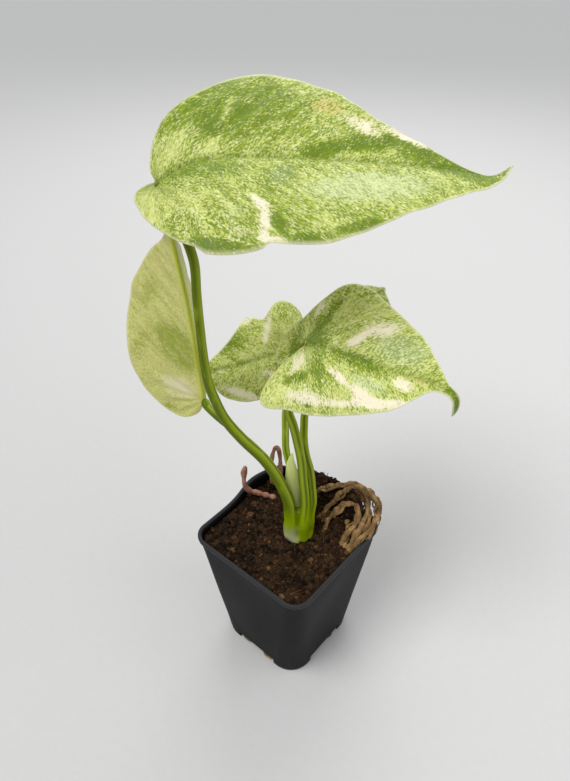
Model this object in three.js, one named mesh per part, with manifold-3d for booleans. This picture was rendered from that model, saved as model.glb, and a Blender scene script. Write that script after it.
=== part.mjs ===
// Potted green snow monstera: a young climbing aroid with five variegated blades on channelled stalks,
// in a square nursery pot with peat soil and thick bare roots heaped over its right-hand corner.
// Millimetres, +Z up. The origin is the centre of the pot's foot, and the pot's sides face X and Y.

import * as THREE from 'three';
import { mergeVertices } from 'three/addons/utils/BufferGeometryUtils.js';
import Module from 'manifold-3d';

const wasm = await Module();
wasm.setup();

// Driving dimensions

const clearance = 0.3;

// The plant stands turned in its pot: its own X runs across the widest blade
const plantTurn = THREE.MathUtils.degToRad(40.3);

const pot = {
  height: 78,
  rimHalf: 35,
  rimRadius: 8,
  footHalf: 26.5,
  footRadius: 12.5,
  lipHeight: 2.3,
  lipProud: 0.8,
  wall: 1.2,
  floor: 1.5,
  slotWidth: 25,
  slotHeight: 5,
  slotDepth: 5,
};

// Steps round each corner and along each side of the pot and of the soil in it
const ringSteps = { corner: 5, side: 6 };

// Where the root ball pushes the thin wall out: the side, the middle of the bulge along it, half width
const bulge = { depth: 4, startHeight: 30, halfWidth: 13, alongBackLeft: 14, alongBackRight: 3 };

const soil = {
  level: 74,
  heapHeight: 16,
  heapReach: 15,
  heapFrom: -27,
  heapTo: 30,
  hollowDepth: 5,
  hollow: [-31, 18],
  hollowReach: 10,
  edgeLevel: 79,
  wallGap: 0.6,
};

// The short stem: middle, half widths at its rooted end, at soil level and at its top
const stem = {
  middle: [5.2, -0.3],
  levels: [[56, 2.5, 2.2], [58, 5.6, 4.6], [70, 6.6, 5.2], [76, 7.6, 5.8]],
};

// Stalks: route in the plant's frame, radius at the foot and at the blade, heading of the channel
const stalks = {
  top: {
    route: [
      [1.3, -2.4, 75.5], [0.6, -2.2, 90], [-0.4, -2, 101], [-5, -1, 114], [-11.5, 0.5, 125.5],
      [-21, 2, 136.5], [-28.5, 4, 146.5], [-32.5, 4.5, 157.5], [-35, 5, 168], [-36, 5.5, 183],
      [-36.5, 6.5, 206], [-36.5, 7.5, 221], [-40, 11.5, 231.5], [-44.5, 19, 237.5], [-49, 26, 241.5],
      [-51.5, 29.5, 244],
    ],
    footRadius: 3.1,
    endRadius: 2,
    channel: 0,
  },
  left: {
    route: [
      [0.6, 3.2, 75.5], [-0.5, 4.5, 95], [-4, 5.8, 108], [-10, 7, 119], [-17.5, 8.5, 128], [-25, 9.5, 135],
      [-31, 11, 140], [-35.5, 13.5, 143], [-38, 17, 143.5], [-40, 21, 144.5],
    ],
    footRadius: 1.7,
    endRadius: 1.6,
    channel: 20,
  },
  back_left: {
    route: [
      [5.2, 2.6, 75.5], [4.2, 3.2, 95], [2.5, 4.3, 105], [1, 6, 113.5], [-1.4, 12, 121],
      [-1.7, 19, 127.5], [-1.8, 27, 131], [-1.3, 34, 129.5], [-0.5, 43, 127.5], [1, 53, 128.5],
      [1.8, 59.5, 133.5], [1, 62.5, 139], [-1, 63.5, 144],
    ],
    footRadius: 1.9,
    endRadius: 1.7,
    channel: -90,
  },
  front_right: {
    route: [
      [7.2, -2.8, 75.5], [7.6, -2.5, 90], [7.8, -2, 101], [6.6, -1.5, 114.5], [5.5, -0.5, 126.5],
      [3.5, 0.5, 137.5], [1.6, 1.5, 146], [-0.5, 3, 152.5], [-0.5, 4.5, 161], [1.2, 6, 171],
      [4.4, 7, 179.5], [7.5, 7, 185.5],
    ],
    footRadius: 2.3,
    endRadius: 2,
    channel: -60,
  },
  back_right: {
    route: [
      [10.3, 1.2, 75.5], [11.2, 1, 90], [11.9, 1, 98], [11.1, 2, 107.5], [10, 3, 116.5], [7.9, 5, 124.5],
      [6.9, 8, 131], [6.9, 11, 137.5], [7.3, 14, 142], [10, 19, 149.5], [16, 26, 157], [24, 33.5, 167],
      [32.5, 38, 173.5],
    ],
    footRadius: 2,
    endRadius: 1.8,
    channel: -90,
  },
};

const stalkStep = 6;
const stalkSides = 10;
const channelDepth = 0.28;

// The cream sheath around the back left stalk: route, inner radius and half angle of wrap at each point
const sheath = {
  thickness: 0.9,
  step: 3.5,
  facing: -90,
  stations: [
    { at: [4.2, 3.2, 93], radius: 2.2, wrap: 100 },
    { at: [3.4, 3.8, 100], radius: 2.4, wrap: 100 },
    { at: [2.2, 4.8, 107], radius: 2.8, wrap: 95 },
    { at: [1.3, 6.2, 113.5], radius: 2.9, wrap: 80 },
    { at: [1.1, 8.4, 118], radius: 2.5, wrap: 50 },
    { at: [1.7, 10.4, 121.5], radius: 1.8, wrap: 10 },
  ],
};

// Blades. The rib leaves the attachment with these pitch, heading and roll angles, in degrees, given
// against the distance along it. Each half has a profile (angle above the blade's plane against the
// distance from the rib), a fold factor along the rib, an outline (along the rib, away from it), the
// direction from which its lobe wraps round the attachment as a cone, and how far that cone droops.
const blade = { thickness: 0.8, ribDepth: 1.3, ribHalfWidth: 1.7, ribStep: 0.5 };

// The swollen joint between a stalk and its blade, which grows from the blade's underside
const knuckle = { length: 6, radius: 2.2, headRadius: 2.5, step: 1.5 };

const blades = {
  top: {
    attachment: [-51.5, 29.5, 244],
    length: 137.5,
    pitch: [[0, 33], [10, 29], [20, 8], [40, -1], [110, -4], [126, -11], [134, 44]],
    heading: [[0, 4], [60, -2], [140, -8]],
    roll: [[0, 24], [60, 23], [140, 18]],
    columns: { lobe: 7, rib: 19 },
    rows: 5,
    left: {
      profile: [[0, 14], [20, 6], [60, -8]],
      fold: [[0, 1.2], [60, 1], [130, 0.6]],
      lobe: { from: 90, droop: 0 },
      outline: [
        [0, 0], [-0.5, 6], [2.3, 13.5], [6, 20.5], [13, 28.5], [23, 36], [36, 41.5], [50, 41.5],
        [62, 37.5], [76, 30], [88, 19.5], [100, 13], [112, 5.5], [122, 1.2], [137.5, 0],
      ],
    },
    right: {
      profile: [[0, 12], [20, 2], [60, -24]],
      fold: [[0, 1.2], [60, 1], [130, 0.6]],
      lobe: { from: 90, droop: 0 },
      outline: [
        [0, 0], [-5, -4.5], [-9, -6.5], [-11.5, -4.5], [-11.5, 1], [-10, 8], [-8, 15], [-5, 22.5],
        [-2, 28], [3, 35.5], [12, 43], [24, 46.5], [35, 47], [44, 45.5], [47.5, 43], [60, 43], [72, 41.5],
        [83, 36.5], [95, 29.5], [107, 22], [118, 15], [128, 7], [134, 3.5], [137.5, 0],
      ],
    },
  },
  left: {
    attachment: [-40, 21, 144.5],
    length: 94,
    pitch: [[0, 86], [10, 82], [45, 82.5], [65, 79], [94, 80]],
    heading: [[0, -95], [80, -120]],
    roll: [[0, -12], [94, -12]],
    columns: { lobe: 6, rib: 13 },
    rows: 5,
    left: {
      profile: [[0, 108], [7, 124], [35, 128]],
      fold: [[0, 0.93], [94, 1.17]],
      lobe: { from: 90, droop: 0 },
      outline: [
        [0, 0], [-6, 2], [-9, 7], [-9, 13], [-5, 18], [0, 21], [7, 23.5], [16, 25.5], [27, 26.5],
        [39, 26], [50, 24], [62, 20], [71, 15], [80, 9.5], [88, 4], [94, 0],
      ],
    },
    right: {
      profile: [[0, 8], [15, 2], [35, -12]],
      fold: [[0, 1], [90, 0.8]],
      lobe: { from: 90, droop: 0 },
      outline: [
        [0, 0], [-8.5, 3], [-13.5, 9], [-14.5, 15], [-11.5, 22], [-4, 29], [3.5, 33], [11.5, 36],
        [22, 37], [35.5, 36.5], [46, 34], [54.5, 31.5], [62, 27.5], [74.5, 18], [83, 8.5], [89, 3],
        [94, 0],
      ],
    },
  },
  back_left: {
    attachment: [-1, 63.5, 144],
    length: 51,
    pitch: [[0, -8], [15, -9], [42, -2], [62, 21]],
    heading: [[0, 200], [62, 195]],
    roll: [[0, -28], [60, -28]],
    columns: { lobe: 6, rib: 11 },
    rows: 4,
    left: {
      profile: [[0, 12], [12, 0], [36, -26]],
      fold: [[0, 1], [62, 0.8]],
      lobe: { from: 90, droop: 0.3 },
      outline: [
        [0, 0], [-5, 3], [-10.5, 6], [-13.5, 11.5], [-12.5, 17.5], [-7.5, 21.5], [0, 22.5], [10.5, 23],
        [21.5, 22], [29, 21], [36, 17.5], [39.5, 13.5], [41.5, 9], [44.5, 4], [47.5, 2], [51, 0],
      ],
    },
    right: {
      profile: [[0, 14], [15, 8], [36, -6]],
      fold: [[0, 1], [62, 0.8]],
      lobe: { from: 90, droop: 0.3 },
      outline: [
        [0, 0], [-5, 3], [-11.5, 8.5], [-15.5, 14.5], [-14.5, 20.5], [-11, 25.5], [-6, 27.5], [-2, 26],
        [2.5, 22.5], [6, 20], [10.5, 22.5], [14, 24], [17.5, 22], [24, 17], [30.5, 12], [39.5, 6.5],
        [44.5, 3.5], [47.5, 1.7], [51, 0],
      ],
    },
  },
  front_right: {
    attachment: [7.5, 7, 185.5],
    length: 73,
    pitch: [[0, -5], [15, -4.5], [30, -5.5], [50, -1], [60, -17], [66, -81], [72, -106]],
    heading: [[0, -18], [30, -28], [70, -28]],
    roll: [[0, 24], [20, 30], [60, 28]],
    columns: { lobe: 8, rib: 18 },
    rows: 5,
    left: {
      profile: [[0, 14], [15, 8], [35, -8]],
      fold: [[0, -1.5], [18, 1], [60, 0.8]],
      lobe: { from: 70, droop: 1 },
      outline: [
        [0, 0], [-8, 1], [-16, 2], [-20.5, 4.5], [-17, 10], [-11, 13.5], [-6, 16.5], [-2.5, 20.5],
        [1.5, 25.5], [6, 31], [11.5, 33], [17, 30.5], [23, 26.5], [28, 24], [36, 20], [44.5, 16],
        [51.5, 9], [56.5, 4], [59.5, 2], [64, 1.5], [69, 1.2], [73, 0],
      ],
    },
    right: {
      profile: [[0, 12], [12, 0], [35, -30]],
      fold: [[0, 1], [60, 0.8]],
      lobe: { from: 90, droop: 0.3 },
      outline: [
        [0, 0], [-6.5, 14.5], [-11, 20.5], [-13.5, 26], [-12.5, 30.5], [-7.5, 32], [1, 31], [13, 29.5],
        [29, 24], [39.5, 18.5], [45, 14], [50, 8], [53.5, 4], [57, 2.3], [61, 2.2], [67, 2.6], [71, 1.6],
        [73, 0],
      ],
    },
  },
  back_right: {
    attachment: [32.5, 38, 173.5],
    length: 34,
    pitch: [[0, 23], [15, 13], [28, 1], [34, -27]],
    heading: [[0, 63], [60, 63]],
    roll: [[0, 31], [60, 31]],
    columns: { lobe: 5, rib: 9 },
    rows: 4,
    left: {
      profile: [[0, 16], [12, 8], [30, -10]],
      fold: [[0, 1], [60, 0.8]],
      lobe: { from: 80, droop: 0.5 },
      outline: [
        [0, 0], [-3, 1.5], [-7, 3.5], [-9.5, 7], [-8.5, 11.5], [-4.5, 15], [1, 16], [6.5, 15.5],
        [12.5, 13.5], [18, 10.5], [23, 6.5], [27.5, 2.5], [30.5, 1.2], [34, 0],
      ],
    },
    right: {
      profile: [[0, 14], [12, 0], [30, -24]],
      fold: [[0, 1], [60, 0.8]],
      lobe: { from: 80, droop: 0.5 },
      outline: [
        [0, 0], [-3, 1.5], [-7, 3.5], [-9.5, 7], [-8.5, 11.5], [-4.5, 15], [1, 16], [6.5, 15.5],
        [12.5, 13.5], [18, 10.5], [23, 6.5], [27.5, 2.5], [30.5, 1.2], [34, 0],
      ],
    },
  },
};

// Roots, as routes in the plant's frame. The tan ones start and end in one knot under the soil.
const rootSides = 6;
const rootStep = 4;
const rootKnot = { at: [27, 5, 68], radius: 3.2 };

const cornerRoots = {
  radius: 1.25,
  routes: [
    [
      [15, 19, 73], [14.5, 22, 79], [19.5, 25.5, 81.5], [27, 24.5, 83.5], [34.5, 20, 88], [40, 15.5, 89],
      [43.5, 11.5, 88], [45.5, 8, 84.5], [45, 3.5, 81.5], [42, -0.5, 80.5], [37.5, -5.5, 80], [33, -9.5, 78],
      [29.5, -9.5, 72],
    ],
    [
      [17, 5, 73], [19.5, 8, 79], [21.5, 13, 81], [25, 16.5, 82], [29.5, 18, 82.5], [32.5, 13, 81.5],
      [33.5, 5.5, 80.5], [33.5, -2.5, 80], [31.5, -7.5, 78], [28.5, -7, 72],
    ],
    [
      [14, 12, 73], [16.5, 14.5, 79.5], [22, 18, 82], [28.5, 21.5, 84], [35, 17, 86.5], [40, 12.5, 84.5],
      [41.5, 7, 81.5], [39.5, 0, 80.5], [35.5, -3.5, 78.5], [31, -3, 72],
    ],
    [[15, 17.5, 74], [18, 19.5, 79.5], [20, 14, 80.5], [20.5, 8.5, 79.5], [21, 2.5, 76.5], [22, 1, 71]],
    [
      [27, 12, 74], [29, 17.5, 81], [33.5, 18, 84.5], [37, 12.5, 83], [37, 4.5, 81.5], [35.5, -2, 79.5],
      [33, -4, 73],
    ],
  ],
};

// The pinkish ones each stand alone. Their sections start out facing the given heading.
const climbingRoot = {
  facing: -90,
  radius: 1.3,
  tipRadius: 1.6,
  route: [
    [-4.5, 22, 66], [-5, 24, 70.5], [-7, 25, 73.5], [-11, 25, 75.5], [-16.5, 25, 77.5], [-20, 24, 80],
    [-22.5, 24, 82.5], [-23.5, 24.5, 86], [-23.5, 26, 90.5], [-22.5, 27.5, 95],
  ],
};

const archedRoot = {
  facing: -90,
  radius: 1.3,
  tipRadius: 1.3,
  route: [
    [-8.5, 39, 68], [-9.2, 40.5, 80], [-8.8, 42.5, 88], [-7.3, 43.5, 93], [-5.6, 43.5, 92.5],
    [-4.6, 43, 87], [-4.4, 41, 80], [-4, 38, 68],
  ],
};

// Helpers: numbers and vectors

const radians = THREE.MathUtils.degToRad;

function interpolate(table, x) {
  const last = table.length - 1;
  if (x <= table[0][0]) return table[0][1];
  if (x >= table[last][0]) return table[last][1];
  const next = table.findIndex((entry) => entry[0] > x);
  const [x0, y0] = table[next - 1];
  const [x1, y1] = table[next];
  return y0 + ((y1 - y0) * (x - x0)) / (x1 - x0);
}

function vector(triple) {
  return new THREE.Vector3(...triple);
}

function hump(distance, reach) {
  return Math.exp(-((distance / reach) ** 2));
}

// Helpers: closed bodies

function closedBody(points, faces) {
  let volume = 0;
  for (const [a, b, c] of faces) {
    volume += points[a].dot(points[b].clone().cross(points[c]));
  }
  const outward = volume > 0 ? faces : faces.map(([a, b, c]) => [a, c, b]);
  const geometry = new THREE.BufferGeometry().setFromPoints(points);
  geometry.setIndex(outward.flat());
  geometry.computeVertexNormals();
  return geometry;
}

// A body through rings of equal count, closed by a fan at each end
function loft(rings) {
  const count = rings[0].length;
  const points = rings.flat().map((point) => point.clone());
  const faces = [];
  for (let ring = 0; ring < rings.length - 1; ring += 1) {
    for (let i = 0; i < count; i += 1) {
      const a = ring * count + i;
      const b = ring * count + ((i + 1) % count);
      faces.push([a, b, b + count], [a, b + count, a + count]);
    }
  }
  const ends = [rings[0], rings[rings.length - 1]];
  ends.forEach((ring, end) => {
    const middle = ring.reduce((sum, point) => sum.add(point), new THREE.Vector3()).divideScalar(count);
    points.push(middle);
    const start = end === 0 ? 0 : (rings.length - 1) * count;
    for (let i = 0; i < count; i += 1) {
      const a = start + i;
      const b = start + ((i + 1) % count);
      faces.push(end === 0 ? [b, a, points.length - 1] : [a, b, points.length - 1]);
    }
  });
  return closedBody(points, faces);
}

const weldReach = 1e-3;

function solidOf(geometry) {
  const bare = geometry.clone();
  bare.deleteAttribute('normal');
  bare.deleteAttribute('uv');
  const merged = mergeVertices(bare, weldReach);
  const mesh = new wasm.Mesh({
    numProp: 3,
    vertProperties: Float32Array.from(merged.attributes.position.array),
    triVerts: Uint32Array.from(merged.index.array),
  });
  return new wasm.Manifold(mesh);
}

function geometryOf(solid) {
  const mesh = solid.getMesh();
  const geometry = new THREE.BufferGeometry();
  geometry.setAttribute('position', new THREE.BufferAttribute(Float32Array.from(mesh.vertProperties), 3));
  geometry.setIndex(new THREE.BufferAttribute(Uint32Array.from(mesh.triVerts), 1));
  geometry.computeVertexNormals();
  return geometry;
}

function joined(solids) {
  return solids.reduce((sum, solid) => sum.add(solid));
}

// The largest closed surface of a body, without bubbles or crumbs that hang on by a corner
function wholeBody(solid) {
  const welded = solidOf(geometryOf(solid));
  return welded.decompose().reduce((best, piece) => (piece.volume() > best.volume() ? piece : best));
}

function cutBy(solid, cutters) {
  return wholeBody(cutters.reduce((body, cutter) => body.subtract(cutter), solid));
}

function mesh(name, geometry, finish) {
  const part = new THREE.Mesh(geometry, new THREE.MeshStandardMaterial(finish));
  part.name = name;
  return part;
}

// Finishes

const finishes = {
  pot: { color: 0x2b2c2f, roughness: 0.55, metalness: 0 },
  soil: { color: 0x4a3324, roughness: 0.95, metalness: 0 },
  stem: { color: 0x9db33a, roughness: 0.5, metalness: 0 },
  stalk: { color: 0x7fa01e, roughness: 0.45, metalness: 0 },
  sheath: { color: 0xeef0b8, roughness: 0.5, metalness: 0 },
  blade: { color: 0x8fa853, roughness: 0.5, metalness: 0 },
  tanRoot: { color: 0xcaa06a, roughness: 0.8, metalness: 0 },
  pinkRoot: { color: 0xd9a688, roughness: 0.7, metalness: 0 },
};

// Pot

function bulgeAt(x, y, z) {
  const rise = THREE.MathUtils.smoothstep(z, bulge.startHeight, pot.height);
  const outX = x < 0 ? -hump(y - bulge.alongBackLeft, bulge.halfWidth) : 0;
  const outY = y > 0 ? hump(x - bulge.alongBackRight, bulge.halfWidth) : 0;
  return [bulge.depth * rise * outX, bulge.depth * rise * outY];
}

// A rounded square ring at one height, pushed out where the wall bulges
function squareRing(half, radius, z) {
  const flat = [];
  for (let corner = 0; corner < 4; corner += 1) {
    const turn = (corner * Math.PI) / 2;
    for (let i = 0; i <= ringSteps.corner; i += 1) {
      const angle = (i / ringSteps.corner) * (Math.PI / 2);
      const x = half - radius + radius * Math.cos(angle);
      const y = half - radius + radius * Math.sin(angle);
      flat.push([x * Math.cos(turn) - y * Math.sin(turn), x * Math.sin(turn) + y * Math.cos(turn)]);
    }
    const side = half - radius;
    for (let i = 1; i < ringSteps.side; i += 1) {
      const x = side - (2 * side * i) / ringSteps.side;
      flat.push([x * Math.cos(turn) - half * Math.sin(turn), x * Math.sin(turn) + half * Math.cos(turn)]);
    }
  }
  return flat.map(([x, y]) => {
    // The bulge acts on the rim's size, so the ring inside moves with the wall outside
    const [outX, outY] = bulgeAt(x, y, z);
    const share = half / outerHalf(z);
    return new THREE.Vector3(x + outX * share, y + outY * share, z);
  });
}

function outerHalf(z) {
  const wallTop = pot.rimHalf - pot.lipProud;
  return pot.footHalf + ((wallTop - pot.footHalf) * z) / pot.height;
}

function cornerRadius(z) {
  return pot.footRadius + ((pot.rimRadius - pot.footRadius) * z) / pot.height;
}

function potSolid() {
  const ring = (half, z, inset) => squareRing(half, cornerRadius(z) - inset, z);
  const lipStart = pot.height - pot.lipHeight;
  const levels = [0, 30, 48, 62, lipStart];
  const outside = levels.map((z) => ring(outerHalf(z), z, 0));
  const lip = [ring(pot.rimHalf, lipStart, 0), ring(pot.rimHalf, pot.height, 0)];
  const inside = [pot.height, 62, 48, 30, pot.floor].map((z) => ring(outerHalf(z) - pot.wall, z, pot.wall));
  const shell = solidOf(loft([...outside, ...lip, ...inside]));
  const slots = [0, 1, 2, 3].map((sideIndex) => {
    const reach = 2 * pot.slotDepth;
    const box = new THREE.BoxGeometry(reach, pot.slotWidth, 2 * pot.slotHeight);
    box.translate(pot.footHalf - pot.slotDepth + reach / 2, 0, 0);
    box.rotateZ((sideIndex * Math.PI) / 2);
    return solidOf(box);
  });
  return cutBy(shell, slots);
}

// Soil

function soilHeight(x, y) {
  const along =
    THREE.MathUtils.smoothstep(x, soil.heapFrom, soil.heapFrom + 12) *
    (1 - THREE.MathUtils.smoothstep(x, soil.heapTo - 16, soil.heapTo));
  const heap = soil.heapHeight * hump(y - pot.rimHalf, soil.heapReach) * along;
  const [hollowX, hollowY] = soil.hollow;
  const hollow = soil.hollowDepth * hump(Math.hypot(x - hollowX, y - hollowY), soil.hollowReach);
  return soil.level + heap - hollow;
}

function soilSolid(cutters) {
  const gap = pot.wall + soil.wallGap;
  const wallRing = (z) => squareRing(outerHalf(z) - gap, cornerRadius(z) - gap, z);
  const sides = [pot.floor + clearance, 30, 48, 62].map(wallRing);
  const rim = wallRing(soil.level).map((point, i) => {
    const height = Math.min(soilHeight(point.x, point.y), soil.edgeLevel);
    const atWall = wallRing(Math.min(height, pot.height))[i];
    return new THREE.Vector3(atWall.x, atWall.y, height);
  });
  const shares = [0.95, 0.86, 0.72, 0.55, 0.35];
  const tops = shares.map((share) =>
    rim.map((point) => {
      const x = point.x * share;
      const y = point.y * share;
      return new THREE.Vector3(x, y, soilHeight(x, y));
    }),
  );
  return cutBy(solidOf(loft([...sides, rim, ...tops])), cutters);
}

// Stem

function stemSolid(grown) {
  const sides = 20;
  const rings = stem.levels.map(([z, halfX, halfY], level) => {
    const shift = level === 0 ? -grown : 0;
    const lift = level === stem.levels.length - 1 ? grown : 0;
    return Array.from({ length: sides }, (_, i) => {
      const angle = (2 * Math.PI * i) / sides;
      const x = stem.middle[0] + (halfX + grown) * Math.cos(angle);
      const y = stem.middle[1] + (halfY + grown) * Math.sin(angle);
      return new THREE.Vector3(x, y, z + shift + lift);
    });
  });
  return solidOf(loft(rings));
}

// Rods along a route: stalks, roots and their grown copies

function curveThrough(route) {
  return new THREE.CatmullRomCurve3(route.map(vector), false, 'catmullrom', 0.5);
}

// A rod over part of a curve, from one share of its length to another. Its section faces the given
// way at the start and turns no more than the curve does.
function rod(curve, step, sectionAt, facing, from = 0, to = 1) {
  const count = Math.max(2, Math.round((curve.getLength() * (to - from)) / step));
  let up = facing;
  const rings = Array.from({ length: count + 1 }, (_, i) => {
    const share = THREE.MathUtils.lerp(from, to, i / count);
    const middle = curve.getPointAt(share);
    const tangent = curve.getTangentAt(share);
    up = up.clone().addScaledVector(tangent, -up.dot(tangent)).normalize();
    const across = tangent.clone().cross(up);
    return sectionAt(share).map(([forward, sideways]) =>
      middle.clone().addScaledVector(up, forward).addScaledVector(across, sideways),
    );
  });
  return solidOf(loft(rings));
}

function towards(degrees) {
  return new THREE.Vector3(Math.cos(radians(degrees)), Math.sin(radians(degrees)), 0);
}

function roundSection(radius, sides) {
  return Array.from({ length: sides }, (_, i) => {
    const angle = (2 * Math.PI * i) / sides;
    return [radius * Math.cos(angle), radius * Math.sin(angle)];
  });
}

// A round section with a shallow channel down the side that faces the section's own forward direction
function channelledSection(radius, grown) {
  return roundSection(1, stalkSides).map(([forward, sideways]) => {
    const depth = channelDepth * hump(sideways, 0.4) * (forward > 0 ? 1 : 0);
    const reach = radius * (1 - depth) + grown;
    return [forward * reach, sideways * reach];
  });
}

function stalkSolid(stalk, grown) {
  const curve = curveThrough(stalk.route);
  const section = (share) => {
    const radius = THREE.MathUtils.lerp(stalk.footRadius, stalk.endRadius, Math.min(1, share * 1.6));
    return channelledSection(radius, grown);
  };
  const end = 1 - (knuckle.length + clearance) / curve.getLength();
  return rod(curve, stalkStep, section, towards(stalk.channel), 0, end);
}

function knuckleSolid(stalk) {
  const curve = curveThrough(stalk.route);
  const start = 1 - knuckle.length / curve.getLength();
  const section = () => roundSection(knuckle.radius, stalkSides);
  const head = new THREE.SphereGeometry(knuckle.headRadius, 10, 6);
  head.translate(...stalk.route[stalk.route.length - 1]);
  return rod(curve, knuckle.step, section, towards(stalk.channel), start, 1).add(solidOf(head));
}

// Sheath

function sheathSolid(cutters) {
  const curve = curveThrough(sheath.stations.map((station) => station.at));
  const positions = sheath.stations.map((_, i) => i / (sheath.stations.length - 1));
  const radii = sheath.stations.map((station, i) => [positions[i], station.radius]);
  const wraps = sheath.stations.map((station, i) => [positions[i], station.wrap]);
  const steps = 8;
  const section = (share) => {
    const radius = interpolate(radii, share);
    const wrap = radians(interpolate(wraps, share));
    const arc = (reach, direction) =>
      Array.from({ length: steps + 1 }, (_, i) => {
        const angle = direction * wrap * ((2 * i) / steps - 1);
        return [reach * Math.cos(angle), reach * Math.sin(angle)];
      });
    return [...arc(radius + sheath.thickness, 1), ...arc(radius, -1)];
  };
  return cutBy(rod(curve, sheath.step, section, towards(sheath.facing)), cutters);
}

// Blades

// The rib as a run of places, each with its own forward, sideways and upward directions
function ribFrames(shape) {
  const count = Math.round(shape.length / blade.ribStep);
  const frames = [];
  const at = vector(shape.attachment);
  for (let i = 0; i <= count; i += 1) {
    const distance = i * blade.ribStep;
    const pitch = radians(interpolate(shape.pitch, distance));
    const heading = radians(interpolate(shape.heading, distance));
    const roll = radians(interpolate(shape.roll, distance));
    const forward = new THREE.Vector3(
      Math.cos(pitch) * Math.cos(heading),
      Math.cos(pitch) * Math.sin(heading),
      Math.sin(pitch),
    );
    const level = new THREE.Vector3(-Math.sin(heading), Math.cos(heading), 0);
    const upright = forward.clone().cross(level);
    const sideways = level.clone().multiplyScalar(Math.cos(roll)).addScaledVector(upright, Math.sin(roll));
    const upward = upright.clone().multiplyScalar(Math.cos(roll)).addScaledVector(level, -Math.sin(roll));
    if (i > 0) {
      const step = frames[i - 1].forward.clone().add(forward).multiplyScalar(blade.ribStep / 2);
      at.add(step);
    }
    frames.push({ at: at.clone(), forward, sideways, upward });
  }
  return frames;
}

function frameAt(frames, distance) {
  const place = THREE.MathUtils.clamp(distance / blade.ribStep, 0, frames.length - 1);
  const low = Math.min(Math.floor(place), frames.length - 2);
  const share = place - low;
  const mix = (key) => frames[low][key].clone().lerp(frames[low + 1][key], share);
  return { at: mix('at'), sideways: mix('sideways'), upward: mix('upward'), forward: mix('forward') };
}

// A point in front of the lobe, at a distance along the rib and a distance away from it
function mainPoint(frames, half, side, along, away) {
  const samples = 16;
  const fold = interpolate(half.fold, along);
  let sideways = 0;
  let upward = 0;
  for (let i = 0; i < samples; i += 1) {
    const angle = radians(interpolate(half.profile, (away * (i + 0.5)) / samples) * fold);
    sideways += (Math.cos(angle) * away) / samples;
    upward += (Math.sin(angle) * away) / samples;
  }
  const frame = frameAt(frames, along);
  return frame.at.addScaledVector(frame.sideways, side * sideways).addScaledVector(frame.upward, upward);
}

// Any point of one half. Behind the lobe's first direction the blade turns about the attachment as a cone.
function halfPoint(frames, half, side, along, away) {
  const first = radians(half.lobe.from);
  const reach = Math.hypot(along, away);
  let direction = Math.atan2(away, along);
  if (direction < 0 && along < 0) direction += 2 * Math.PI;
  if (direction <= first) return mainPoint(frames, half, side, along, away);
  const hinge = mainPoint(frames, half, side, reach * Math.cos(first), reach * Math.sin(first));
  const start = frames[0];
  const rise = radians(half.profile[0][1] * half.fold[0][1]);
  const flank = start.sideways.clone().multiplyScalar(side * Math.cos(rise));
  flank.addScaledVector(start.upward, Math.sin(rise));
  const upward = start.upward.clone().multiplyScalar(Math.cos(rise));
  upward.addScaledVector(start.sideways, -side * Math.sin(rise));
  const axis = upward.addScaledVector(start.forward, -half.lobe.droop * Math.cos(first));
  axis.addScaledVector(flank, -half.lobe.droop * Math.sin(first)).multiplyScalar(side);
  const pace = axis.length();
  const arm = hinge.sub(start.at).applyAxisAngle(axis.normalize(), (direction - first) * pace);
  return arm.add(start.at);
}

// The share of the outline at which it passes the attachment, going from the lobe to the tip
function lobeShare(outline) {
  const samples = 400;
  for (let i = samples; i > 0; i -= 1) {
    if (outline.getPointAt(i / samples).x <= 0) return (0.9 * i) / samples;
  }
  return 0;
}

// The blade's middle surface: points, faces, and how far each point is from the rib and along it
function bladeSheet(shape) {
  const frames = ribFrames(shape);
  const points = [];
  const away = [];
  const along = [];
  const faces = [];
  const ribCount = shape.columns.rib;
  const add = (point, fromRib, onRib) => {
    points.push(point);
    away.push(fromRib);
    along.push(onRib);
    return points.length - 1;
  };
  const rib = Array.from({ length: ribCount + 1 }, (_, j) => {
    const distance = (shape.length * j) / ribCount;
    return add(frameAt(frames, distance).at, 0, distance);
  });
  [['left', 1], ['right', -1]].forEach(([name, side]) => {
    const half = shape[name];
    const outline = new THREE.SplineCurve(half.outline.map(([x, y]) => new THREE.Vector2(x, y)));
    const behind = lobeShare(outline);
    const columns = [];
    for (let column = 1; column < shape.columns.lobe + ribCount; column += 1) {
      const station = Math.max(0, column - shape.columns.lobe);
      const foot = (shape.length * station) / ribCount;
      const lobePart = (behind * Math.min(column, shape.columns.lobe)) / shape.columns.lobe;
      const share = lobePart + ((1 - behind) * station) / ribCount;
      const margin = outline.getPointAt(share);
      const first = Math.min(blade.ribHalfWidth / margin.length(), 0.2);
      const ids = [rib[station]];
      for (let row = 1; row <= shape.rows; row += 1) {
        const out = first + ((1 - first) * (row - 1)) / (shape.rows - 1);
        const s = foot * (1 - out) + margin.x * out;
        const w = margin.y * out;
        ids.push(add(halfPoint(frames, half, side, s, w), Math.hypot(w, Math.min(0, s)), foot));
      }
      columns.push(ids);
    }
    columns.unshift(Array(shape.rows + 1).fill(rib[0]));
    columns.push(Array(shape.rows + 1).fill(rib[ribCount]));
    for (let column = 0; column < columns.length - 1; column += 1) {
      for (let row = 0; row < shape.rows; row += 1) {
        const [a, b] = [columns[column][row], columns[column][row + 1]];
        const [c, d] = [columns[column + 1][row + 1], columns[column + 1][row]];
        const order = side > 0 ? [[a, d, c], [a, c, b]] : [[a, c, d], [a, b, c]];
        faces.push(...order.filter((face) => new Set(face).size === 3));
      }
    }
  });
  return { points, faces, away, along };
}

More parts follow.
